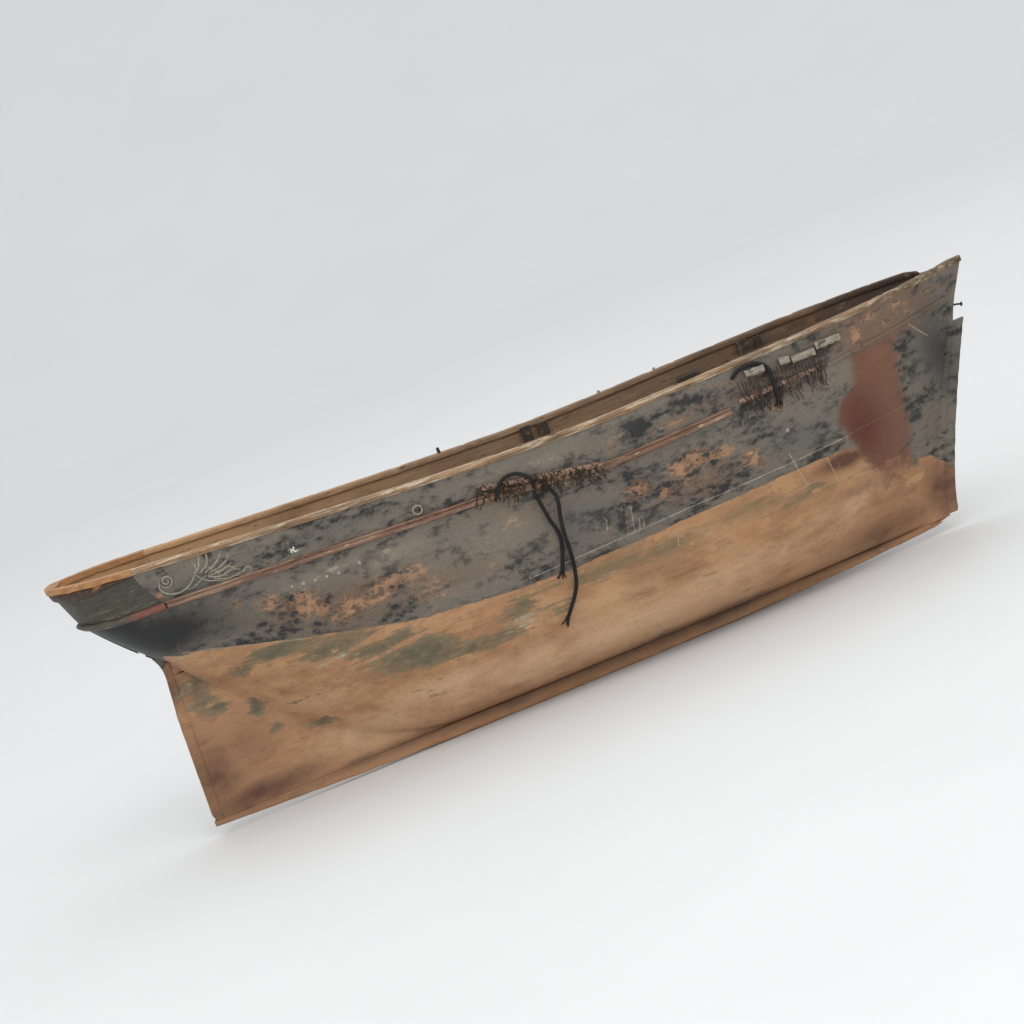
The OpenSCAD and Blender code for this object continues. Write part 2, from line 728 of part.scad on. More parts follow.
// A flat ribbon on the side along points of X and Z, tapering to its end
module side_ribbon(side, path, w0, w1, t) {
    n = len(path) - 1;
    slices = [for (i = [0:n])
        let (a = path[max(0, i - 1)], b = path[min(n, i + 1)], d = [b[0] - a[0], b[1] - a[1]],
            m = norm(d), w = between(w0, w1, i / n) / 2, nx = -d[1] / m * w, nz = d[0] / m * w,
            p = [path[i][0] + nx, path[i][1] + nz], q = [path[i][0] - nx, path[i][1] - nz],
            yp = side_y(p[0], p[1]), yq = side_y(q[0], q[1]))
        [[p[0], side * yp, p[1]], [p[0], side * (yp + t), p[1]],
            [q[0], side * (yq + t), q[1]], [q[0], side * yq, q[1]]]];
    loft(side > 0 ? slices : [for (i = [n:-1:0]) slices[i]]);
}

scroll_x = stern_x + 0.125 * hull_l;
scroll_drop = 22;
scroll_t = 1.6;
// Its spiral ends below, where the stem sets out to the leaves
module scroll(side) {
    z0 = rail_z(scroll_x) - scroll_drop;
    turn = 600;
    spiral = [for (k = [0:30]) let (a = -90 - turn * (1 - k / 30), r = 2.5 + 9 * k / 30)
        [scroll_x + r * cos(a), z0 + r * sin(a)]];
    stem = [for (k = [1:8]) let (s = k / 8) [scroll_x + 84 * s, z0 - 11.5 + 7 * sin(180 * s) - 12 * s * s]];
    color("#c0a878") union() {
        side_ribbon(side, concat(spiral, stem), 2.2, 2.6, scroll_t);
        for (leaf = [[26, 16, 1], [40, 18, 1], [54, 14, 1], [34, 9, -1], [60, 8, -1]])
            side_ribbon(side, [for (k = [0:5]) let (s = k / 5)
                [scroll_x + leaf[0] + leaf[1] * s * (1 - 0.3 * s),
                z0 - 7 - 0.12 * leaf[0] + leaf[2] * (2 + leaf[1] * 0.55 * sin(80 * s))]], 4.5, 0.8, scroll_t);
    }
}

module quarter_scroll_starboard() {
    scroll(STARBOARD);
}

module quarter_scroll_port() {
    scroll(PORT);
}

// ---- Cords ----

// The routes of the tarred cords that hang on the starboard side
short_route = [[0, -102.8, 222], [2, -101.5, 206], [4, -99, 189], [7, -96.5, 174], [5, -94, 158],
    [-5, -90, 133]];
long_route = [[12, -104, 226], [17, -104, 216], [19, -103.5, 206], [15, -102, 189], [12, -100.5, 171],
    [11, -98, 152], [8, -93, 132], [2, -88, 113], [-11, -81.5, 94], [-19, -77, 84]];
loop_route = [[-35, -99.5, 231], [-31, -100.5, 239], [-22, -101.8, 246], [-10, -102.8, 246],
    [0, -103.5, 239], [4, -104, 232]];
fore_route = [[224, -103.5, 250], [234, -104.5, 256], [250, -103.5, 256], [260, -103, 249],
    [262, -104.5, 237], [261, -106.5, 226], [259, -102, 211]];
cord_sides = 8;
cord_steps = 3;

// A smooth curve through the points of a route
function route_point(p, i, s) = let (n = len(p) - 1, a = p[max(0, i - 1)], b = p[i], c = p[min(n, i + 1)],
        d = p[min(n, i + 2)])
    0.5 * (2 * b + (c - a) * s + (2 * a - 5 * b + 4 * c - d) * s * s + (3 * b - a - 3 * c + d) * s * s * s);
function smooth_route(p) = concat([for (i = [0:len(p) - 2]) for (k = [0:cord_steps - 1])
    route_point(p, i, k / cord_steps)], [p[len(p) - 1]]);
function unit(v) = v / norm(v);

// A round tube along a route that never runs straight out from the side
module cord(route) {
    path = smooth_route(route);
    n = len(path) - 1;
    color("#26262a") loft([for (i = [0:n])
        let (t = unit(path[min(n, i + 1)] - path[max(0, i - 1)]), u = unit(cross(t, [0, 1, 0])),
            v = cross(t, u))
        [for (k = [0:cord_sides - 1]) path[i] + cord_d / 2 * (cos(360 * k / cord_sides) * u
            - sin(360 * k / cord_sides) * v)]]);
}

module main_strand_short() {
    cord(short_route);
}

module main_strand_long() {
    cord(long_route);
}

module main_loop() {
    cord(loop_route);
}

module fore_loop() {
    cord(fore_route);
}

keel();
cutwater();
sternpost();
hull_lift_1();
hull_lift_2();
hull_lift_3();
hull_lift_4();
top_lift();
bulwark_starboard();
bulwark_port();
stern_panel();
stern_moulding();
cap_rail_starboard();
cap_rail_port();
taffrail();
taffrail_moulding();
bow_chock();
strake_starboard();
strake_port();
bow_moulding_starboard();
bow_moulding_port();
deck();
deck_beams();
fore_mast_partner();
main_mast_partner();
mizzen_mast_partner();
fore_mast_step();
main_mast_step();
mizzen_mast_step();
main_channel_starboard();
main_channel_port();
fore_channel_starboard();
fore_channel_port();
fore_batten_starboard();
fore_batten_port();
main_chain_wires();
fore_chain_wires();
side_nails();
ring_bolt();
bow_nail();
main_pin_ledge();
fore_pin_ledge();
main_posts();
fore_posts();
deck_block();
rail_peg();
rail_nails();
quarter_scroll_starboard();
quarter_scroll_port();
main_strand_short();
main_strand_long();
main_loop();
fore_loop();
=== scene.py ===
"""Old painted hull of a ship model: carved lifts on a keel, bulwarks with capped rails, a round
stern, channels and the remains of its wires and cords. Masts and rudder are missing."""
import math
import random
import bmesh
import bpy
import numpy as np
from mathutils import Matrix, Vector, noise


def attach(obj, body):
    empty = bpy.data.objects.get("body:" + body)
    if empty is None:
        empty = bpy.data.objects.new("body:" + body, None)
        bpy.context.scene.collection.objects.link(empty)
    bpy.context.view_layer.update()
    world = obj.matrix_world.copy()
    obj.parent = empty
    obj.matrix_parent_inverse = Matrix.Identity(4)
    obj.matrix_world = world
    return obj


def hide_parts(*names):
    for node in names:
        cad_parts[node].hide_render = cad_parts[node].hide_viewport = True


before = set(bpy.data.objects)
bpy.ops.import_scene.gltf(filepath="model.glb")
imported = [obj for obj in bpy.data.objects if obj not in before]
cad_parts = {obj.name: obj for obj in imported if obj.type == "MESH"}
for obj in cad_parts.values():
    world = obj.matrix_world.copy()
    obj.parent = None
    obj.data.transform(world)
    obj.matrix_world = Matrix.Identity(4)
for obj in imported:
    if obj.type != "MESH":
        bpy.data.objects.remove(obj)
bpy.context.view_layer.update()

# ---- Camera ----
# Low on the starboard side and turned, so that the bow rises to the upper right.

TARGET = Vector((0, 0, 0.130))
VIEW_ELEVATION = math.radians(9.77)
VIEW_ROLL = math.radians(22.62)
VIEW_DISTANCE = 2.602
back = Vector((0, -math.cos(VIEW_ELEVATION), math.sin(VIEW_ELEVATION)))
level_right = Vector((1, 0, 0))
level_up = Vector((0, math.sin(VIEW_ELEVATION), math.cos(VIEW_ELEVATION)))
right = level_right * math.cos(VIEW_ROLL) - level_up * math.sin(VIEW_ROLL)
up = level_up * math.cos(VIEW_ROLL) + level_right * math.sin(VIEW_ROLL)
camera_data = bpy.data.cameras.new("camera")
camera_data.lens = 87.9
camera_data.sensor_width = 36
camera_data.shift_x = -0.049
camera_data.shift_y = 0.0468
camera = bpy.data.objects.new("camera", camera_data)
turned = Matrix((right, up, back)).transposed().to_4x4()
camera.matrix_world = Matrix.Translation(TARGET + back * VIEW_DISTANCE) @ turned
bpy.context.collection.objects.link(camera)
scene = bpy.context.scene
scene.camera = camera
scene.view_settings.view_transform = "Standard"

# ---- Cords ----
# Tarred hemp cord, laid from three strands and stiff with tar, so it keeps the bends it was tied in.
# Two ends hang from the main channel and one loop lies over each channel. Their cut ends are frayed.

MM = 0.001
CORD_D = 4.2
short_route = [(0, -102.8, 222), (2, -101.5, 206), (4, -99, 189), (7, -96.5, 174), (5, -94, 158),
               (-5, -90, 133)]
long_route = [(12, -104, 226), (17, -104, 216), (19, -103.5, 206), (15, -102, 189), (12, -100.5, 171),
              (11, -98, 152), (8, -93, 132), (2, -88, 113), (-11, -81.5, 94), (-19, -77, 84)]
main_loop_route = [(-35, -99.5, 231), (-31, -100.5, 239), (-22, -101.8, 246), (-10, -102.8, 246),
                   (0, -103.5, 239), (4, -104, 232)]
fore_loop_route = [(224, -103.5, 250), (234, -104.5, 256), (250, -103.5, 256), (260, -103, 249),
                   (262, -104.5, 237), (261, -106.5, 226), (259, -102, 211)]


def linear(hex_colour):
    """A colour written as sRGB hex, as the linear numbers that a shader takes."""
    parts = [int(hex_colour[i:i + 2], 16) / 255 for i in (1, 3, 5)]
    return (*[p / 12.92 if p <= 0.04045 else ((p + 0.055) / 1.055) ** 2.4 for p in parts], 1)


def add(tree, kind, inputs=None, **settings):
    """A node with its settings; each input is a value, or the output that is linked to it."""
    node = tree.nodes.new(kind)
    for key, value in settings.items():
        setattr(node, key, value)
    for key, value in (inputs or {}).items():
        if isinstance(value, bpy.types.NodeSocket):
            tree.links.new(value, node.inputs[key])
        else:
            node.inputs[key].default_value = value
    return node


class Finish:
    """A material built up coat by coat: a colour, a roughness and a height in mm under each mask."""

    def __init__(self, name):
        self.material = bpy.data.materials.new(name)
        self.material.use_nodes = True
        self.tree = self.material.node_tree
        self.tree.nodes.clear()
        place = self.add("ShaderNodeTexCoord").outputs["Object"]
        to_mm = (1000, 1000, 1000)
        self.place = self.add("ShaderNodeVectorMath", {0: place, 1: to_mm}, operation="MULTIPLY").outputs[0]

    def add(self, kind, inputs=None, **settings):
        return add(self.tree, kind, inputs, **settings)

    def grain(self, size_mm, stretch=(1, 1, 1), detail=4, rough=0.6, low=0.3, high=0.7):
        """Cloudy variation from 0 to 1 with features of about size_mm, stretched along an axis."""
        per_mm = [1 / (size_mm * s) for s in stretch]
        scaled = self.add("ShaderNodeVectorMath", {0: self.place, 1: per_mm}, operation="MULTIPLY")
        cloud = self.add("ShaderNodeTexNoise", {"Vector": scaled.outputs[0], "Scale": 1.0, "Detail": detail,
                                                "Roughness": rough})
        return self.ramp(cloud.outputs[0], low, high)

    def ramp(self, value, low, high, start=0.0, end=1.0):
        """A mask that goes from start to end as a value goes from low to high."""
        return self.add("ShaderNodeMapRange", {"Value": value, "From Min": low, "From Max": high,
                                               "To Min": start, "To Max": end}).outputs[0]

    def along(self, axis, low, high):
        """A mask that grows from low to high along one axis, in mm."""
        return self.ramp(self.add("ShaderNodeSeparateXYZ", {0: self.place}).outputs[axis], low, high)

    def both(self, a, b):
        """Where two masks meet, or a mask that covers only in part, as a thin stain does."""
        return self.add("ShaderNodeMath", {0: a, 1: b}, operation="MULTIPLY").outputs[0]

    def plus(self, a, factor, b):
        """A cloud times a factor, on top of another."""
        return self.add("ShaderNodeMath", {0: a, 1: factor, 2: b}, operation="MULTIPLY_ADD").outputs[0]

    def shares(self, a, b, of_a=0.55):
        """Two clouds as one, so that torn edges have large and small bites."""
        return self.plus(b, 1 - of_a, self.both(a, of_a))

    def ragged(self, amount, cloud, spread=1.0, soft=0.06, middle=0.5):
        """A mask with torn edges: a smooth amount broken up by a cloud, full where both are high."""
        low = middle + spread / 2 - soft
        return self.ramp(self.plus(cloud, spread, amount), low, low + 2 * soft)

    def mix(self, mask, a, b):
        """One colour over another, each given as sRGB hex or as an output."""
        a, b = [linear(c) if isinstance(c, str) else c for c in (a, b)]
        return self.add("ShaderNodeMix", {0: mask, 6: a, 7: b}, data_type="RGBA").outputs[2]

    def two_tones(self, mask, dark, light, rough=0.7, height=0.0):
        """The bare surface in two tones, with a height in mm that follows the mask."""
        self.colour, self.rough, self.height = linear(dark), rough, 0.0
        self.coat(mask, light, rough, height)

    def coat(self, mask, colour, rough, thick=0.0):
        """A coat of paint, dirt or wear over what is there: its colour, its gloss, its thickness in mm."""
        self.colour = self.mix(mask, self.colour, colour)
        self.rough = self.add("ShaderNodeMix", {0: mask, 2: self.rough, 3: rough}).outputs[0]
        self.height = self.plus(mask, thick, self.height)

    def done(self, specular=0.5, metallic=0.0):
        """Joins the coats to the shader; the height in mm becomes a bump of that real depth."""
        bump = self.add("ShaderNodeBump", {"Height": self.height, "Distance": MM, "Strength": 1.0})
        shader = self.add("ShaderNodeBsdfPrincipled", {
            "Base Color": self.colour, "Roughness": self.rough, "Metallic": metallic,
            "Specular IOR Level": specular, "Normal": bump.outputs[0]})
        self.add("ShaderNodeOutputMaterial", {"Surface": shader.outputs[0]})
        return self.material


# Tarred hemp: near-black fibres with a dull tar shine, dusty on the high parts.
look = Finish("tarred_hemp")
look.two_tones(look.grain(3), "#100f10", "#1d1b1b", 0.6, 0.15)
look.coat(look.grain(9, low=0.58, high=0.8), "#2f2b28", 0.8, 0.1)
look.coat(look.grain(0.5, (1, 1, 4), low=0.55, high=0.95), "#3d3833", 0.7, 0.12)
tarred_hemp = look.done(0.25)


def smooth_route(route, steps):
    """A smooth curve through the points of a route."""
    p = [Vector(route[0]), *[Vector(q) for q in route], Vector(route[-1])]
    out = []
    for i in range(1, len(p) - 2):
        a, b, c, d = p[i - 1:i + 3]
        square, cube = 2 * a - 5 * b + 4 * c - d, 3 * b - a - 3 * c + d
        for k in range(steps):
            s = k / steps
            out.append(0.5 * (2 * b + (c - a) * s + square * s * s + cube * s ** 3))
    return out + [p[-2]]


def tube(path, radius, sides, lobes=0, lay_mm=16):
    """Rings of points round a path in mm, its frame carried along without twist. radius is a number
    or a function of the share of the length. Lobes are the strands of a rope, laid once in lay_mm."""
    rings, run = [], 0.0
    n = len(path)
    tangent = (path[1] - path[0]).normalized()
    side = tangent.cross(Vector((0, 1, 0.01))).normalized()
    for i in range(n):
        new = (path[min(n - 1, i + 1)] - path[max(0, i - 1)]).normalized()
        side = (side - new * side.dot(new)).normalized()
        other = new.cross(side)
        run += (path[i] - path[i - 1]).length if i else 0
        r = radius(i / (n - 1)) if callable(radius) else radius
        ring = []
        for k in range(sides):
            a = 2 * math.pi * k / sides
            swell = 1 - 0.16 * abs(math.sin(lobes * (a + 2 * math.pi * run / lay_mm) / 2)) ** 3 if lobes else 1
            ring.append(path[i] + (side * math.cos(a) + other * math.sin(a)) * r * swell)
        rings.append(ring)
    return rings


def skin(rings, closed=False):
    """The faces over rings of points. Open ends are closed by strips across the ring."""
    n, m = len(rings), len(rings[0])
    faces = []
    for i in range(n if closed else n - 1):
        a, b = i * m, (i + 1) % n * m
        faces += [(a + j, a + (j + 1) % m, b + (j + 1) % m, b + j) for j in range(m)]
    if not closed:
        for j in range(m // 2 - 1):
            faces.append((j, m - 1 - j, m - 2 - j, j + 1))
            faces.append(tuple((n - 1) * m + k for k in (j + 1, m - 2 - j, m - 1 - j, j)))
        if m % 2:
            h = m // 2
            faces += [(h - 1, h + 1, h), tuple((n - 1) * m + k for k in (h, h + 1, h - 1))]
    return np.array(rings, dtype=float).reshape(-1, 3), faces


def join(parts):
    """Several skins as one."""
    points, faces, start = [], [], 0
    for p, f in parts:
        points.append(p)
        faces += [tuple(i + start for i in face) for face in f]
        start += len(p)
    return np.concatenate(points), faces


def piece(name, skin_mm, materials, nodes=(), sharp=40):
    """A piece of the object from points in mm, riding on the one body, in place of its CAD nodes."""
    points, faces = skin_mm
    mesh = bpy.data.meshes.new(name)
    mesh.from_pydata((points * MM).tolist(), [], faces)
    form = bmesh.new()
    form.from_mesh(mesh)
    bmesh.ops.remove_doubles(form, verts=form.verts, dist=2e-6)
    bmesh.ops.recalc_face_normals(form, faces=form.faces)
    form.to_mesh(mesh)
    form.free()
    for m in materials:
        mesh.materials.append(m)
    mesh.shade_smooth()
    mesh.set_sharp_from_angle(angle=math.radians(sharp))
    obj = bpy.data.objects.new(name, mesh)
    bpy.context.collection.objects.link(obj)
    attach(obj, "root")
    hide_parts(*nodes)
    return obj


def fray(path, count, reach, seed):
    """Loose yarns that spread from a cord's cut end."""
    rng = random.Random(seed)
    end, out = path[-1], (path[-1] - path[-5]).normalized()
    parts = []
    for _ in range(count):
        turn = Vector([rng.uniform(-1, 1) for _ in range(3)])
        turn.y = min(turn.y, 0.3)
        spread = (turn - out * turn.dot(out)).normalized()
        start = end - out * 3 + spread * 1.3
        line = [start, start + out * reach * 0.4 + spread * 1.0,
                start + out * reach * rng.uniform(0.6, 1.0) + spread * rng.uniform(1.5, 4.5)]
        parts.append(skin(tube(smooth_route(line, 4), lambda s: 0.8 * (1 - 0.6 * s), 6)))
    return join(parts)


# A frayed yarn is still dark with tar, and only its tip has gone grey-brown.
look = Finish("frayed_hemp")
look.two_tones(look.grain(2, low=0.45, high=0.75), "#171514", "#4d443b", 0.9, 0.1)
frayed_hemp = look.done(0.2)

# A cord with a bare far end is frayed there. The main loop goes back in, and is frayed where it starts.
for node, route, far_end, seed in (("main_strand_short", short_route, "bare", 3),
                                   ("main_strand_long", long_route, "bare", 5),
                                   ("main_loop", main_loop_route, "object", 7),
                                   ("fore_loop", fore_loop_route, "bare", 9)):
    path = smooth_route(route, 10)
    rope = piece(f"{node}_cord", skin(tube(path, CORD_D / 2, 18, 3)), [tarred_hemp], [node], 180)
    loose_yarns = fray(path, 13, 10, seed) if far_end == "bare" else fray(path[::-1], 12, 9, seed)
    yarns = [piece(f"{node}_frayed_end", loose_yarns, [frayed_hemp], [], 180)]

# ---- Shape of the hull ----
# The rules that the wood was carved to, in mm from the underside of the keel and from amidships:
# the rail's sheer, the curved stem, the counter, the rounded stern and the width at every height.

BOW_X, STERN_X, KNUCKLE_X, BODY_POST_X = 500.0, -500.0, -484.0, -416.0
KEEL_H, POST_Z, CUTWATER_Z, RAIL_LOW_Z, BULWARK_H, CAP_T = 16.0, 190.0, 204.0, 265.5, 46.0, 6.0
CUTWATER_T, STEM_HALF, BULWARK_T, LIFT_WALL, CAP_LIP = 12.0, 5.0, 9.0, 18.0, 2.5
QUARTER_X, QUARTER_CURVE = -404.0, 20.0
# Greatest half width, where it is, and how far aft of it the hull reaches
HALF_B, WIDEST_X, AFT_L = 102, 100, 600
RAIL_RISE_AFT, SHEER_ROUND = 44.5, 0.25
STEM_FOOT_X, STEM_FOOT_Z, STEM_CURVE = 405, 25, 75
POST_RAKE, COUNTER_L, STERN_LEAN = 15, 68, 16
RUN_X, RUN_L, ROUND_X = -150, 266, -390
HOLLOW_X, RUN_FADE_L, COUNTER_FADE_L = -371, 150, 70
CHOCK_L = 16


def rail_z(x):
    share = np.maximum(0, (WIDEST_X - x) / AFT_L)
    sheer = (np.sqrt(share ** 2 + SHEER_ROUND ** 2) - SHEER_ROUND) / (math.sqrt(1 + SHEER_ROUND ** 2) - SHEER_ROUND)
    return RAIL_LOW_Z + RAIL_RISE_AFT * sheer


def deck_z(x):
    return rail_z(x) - BULWARK_H


KNUCKLE_Z = deck_z(KNUCKLE_X) - 3


def stem_x(z):
    return STEM_FOOT_X + STEM_CURVE * (np.maximum(0, z - STEM_FOOT_Z) / (CUTWATER_Z - STEM_FOOT_Z)) ** 1.2


def body_fore_x(z):
    foot = stem_x(CUTWATER_Z) - CUTWATER_T
    up_share = np.minimum(1, np.maximum(0, z - CUTWATER_Z) / (rail_z(BOW_X) - CUTWATER_Z))
    above = foot + (BOW_X - foot) * up_share ** 1.2
    return np.where(z <= CUTWATER_Z, stem_x(z) - CUTWATER_T, above)


def body_aft_x(z):
    post = BODY_POST_X - POST_RAKE * (1 - z / POST_Z)
    counter = BODY_POST_X - COUNTER_L * (np.maximum(0, z - POST_Z) / (KNUCKLE_Z - POST_Z)) ** 0.87
    up_share = np.minimum(1, (z - KNUCKLE_Z) / (rail_z(STERN_X) - CAP_T - KNUCKLE_Z))
    stern = KNUCKLE_X - STERN_LEAN * up_share
    return np.where(z <= POST_Z, post, np.where(z <= KNUCKLE_Z, counter, stern))


def low_z(x):
    counter = POST_Z + (KNUCKLE_Z - POST_Z) * (np.maximum(0, BODY_POST_X - x) / COUNTER_L) ** 1.15
    run = KEEL_H + (POST_Z - KEEL_H) * (np.maximum(0, RUN_X - x) / RUN_L) ** 2.2
    return np.where(x < BODY_POST_X, np.minimum(counter, deck_z(x) - 2), np.where(x < RUN_X, run, KEEL_H))


def half_b(x, z):
    """Half the hull's width at any place, before the flat of the stem."""
    low = low_z(x)
    up_share = np.clip((z - low) / (rail_z(x) - low), 0, 1)
    aft = 1 - 0.4 * np.maximum(0, (WIDEST_X - x) / AFT_L) ** 0.95
    fore_share = np.clip((x - WIDEST_X) / (body_fore_x(z) - WIDEST_X), 0, 1)
    fore = 1 - fore_share ** (3.9 - 1.5 * (1 - z / rail_z(BOW_X)))
    square = 2.5 + 2.5 * np.clip((-366 - x) / 90, 0, 1)
    fade = np.where(x > HOLLOW_X, RUN_FADE_L, COUNTER_FADE_L)
    hollow = 1 + 1.6 * np.exp(-((x - HOLLOW_X) / fade) ** 2)
    section = (1 - (1 - up_share) ** square) ** (hollow / square)
    round_share = np.clip((ROUND_X - x) / (ROUND_X - body_aft_x(z)), 0, 1)
    round_off = np.where((z <= POST_Z) | (x > ROUND_X), 1, (1 - round_share ** 2.4) ** (1 / 2.2))
    return HALF_B * aft * fore * section * round_off


def side_y(x, z):
    return np.maximum(STEM_HALF, half_b(x, z))


def uneven(points, size_mm, depth_mm, axis=1, seed=0.0):
    """The small waves that a carver's tools and time leave: points moved along an axis by a noise."""
    for p in points:
        wave = noise.noise(Vector((p[0] / size_mm + seed, p[1] / size_mm, p[2] / size_mm * 1.6)))
        p[axis] += depth_mm * wave * (np.sign(p[1]) if axis == 1 else 1)


def age(obj):
    """Where the hull's coats have lasted and where they have gone, and where a sheen and shade are painted in, as
    smooth fields for its paint.
    """
    mesh = obj.data
    co = np.empty(len(mesh.vertices) * 3)
    mesh.vertices.foreach_get("co", co)
    x, y, z = co.reshape(-1, 3).T * 1000
    # The port side wears the same spots, shifted, so that it isn't a mirror of the starboard side
    u = np.where(y < 0, x, np.where(x < 250, -x - 60, x))
    fields = {}
    for field, spots in SPOTS.items():
        fields[field] = np.zeros(len(x))
        for sx, sz, rx, rz, strength in spots:
            spot = strength * np.exp(-1.2 * (((u - sx) / rx) ** 2 + ((z - sz) / rz) ** 2))
            fields[field] = np.maximum(fields[field], spot)
    left = np.interp(z, [90, 120, 150, 165, 182, 195, 222], [335, 322, 316, 309, 318, 339, 345])
    right = np.interp(z, [90, 140, 180, 222], [372, 388, 391, 399])
    patch = np.minimum(np.minimum((u - left) / 8, (right - u) / 12), np.minimum((z - 84) / 30, (224 - z) / 3))
    fields["patch"] = patch
    fields["paint"] = z - np.interp(x, PAINT_X, PAINT_Z)
    scribe = z - np.interp(x, [-38, 40, 130, 315], [139.5, 142.3, 145.5, 147.5])
    fields["scribe"] = np.where((x < -38) | (x > 315), np.sign(scribe) * FAR_OFF, scribe)
    scratch = np.full(len(x), FAR_OFF)
    for x0, z0, x1, z1 in SCRATCHES:
        length = math.hypot(x1 - x0, z1 - z0)
        along = ((x - x0) * (x1 - x0) + (z - z0) * (z1 - z0)) / length
        off = ((x - x0) * (z1 - z0) - (z - z0) * (x1 - x0)) / length
        near = (along > 0) & (along < length) & (np.abs(off) < np.abs(scratch))
        scratch[near] = off[near]
    fields["scratch"] = scratch
    for field, value in fields.items():
        value = np.clip(value, -FAR_OFF, FAR_OFF).astype(np.float32)
        mesh.attributes.new(field, "FLOAT", "POINT").data.foreach_set("value", value)


# A field's distance from a line, in mm, is only followed this far
FAR_OFF = 9.0
# Lower edge of the black topsides, and long scratches as pairs of ends, along and up the starboard side
PAINT_X = [-500, -419, -415, -375, -274, -160, -58, 9, 37, 145, 244, 312, 345, 378, 396, 412, 440]
PAINT_Z = [186, 186, 203, 195, 170, 144, 134, 131.5, 133, 136, 138, 136, 114, 90, 84, 66, 10]
SCRATCHES = [(251, 158, 258, 116), (286, 138, 290, 106), (277, 49, 316, 87), (416, 226, 434, 204),
             (78, 142, 84, 172), (-395, 201, -262, 166), (87, 142, 93, 156), (113, 110, 118, 126),
             (53, 154, 57, 170), (201, 41, 238, 47)]
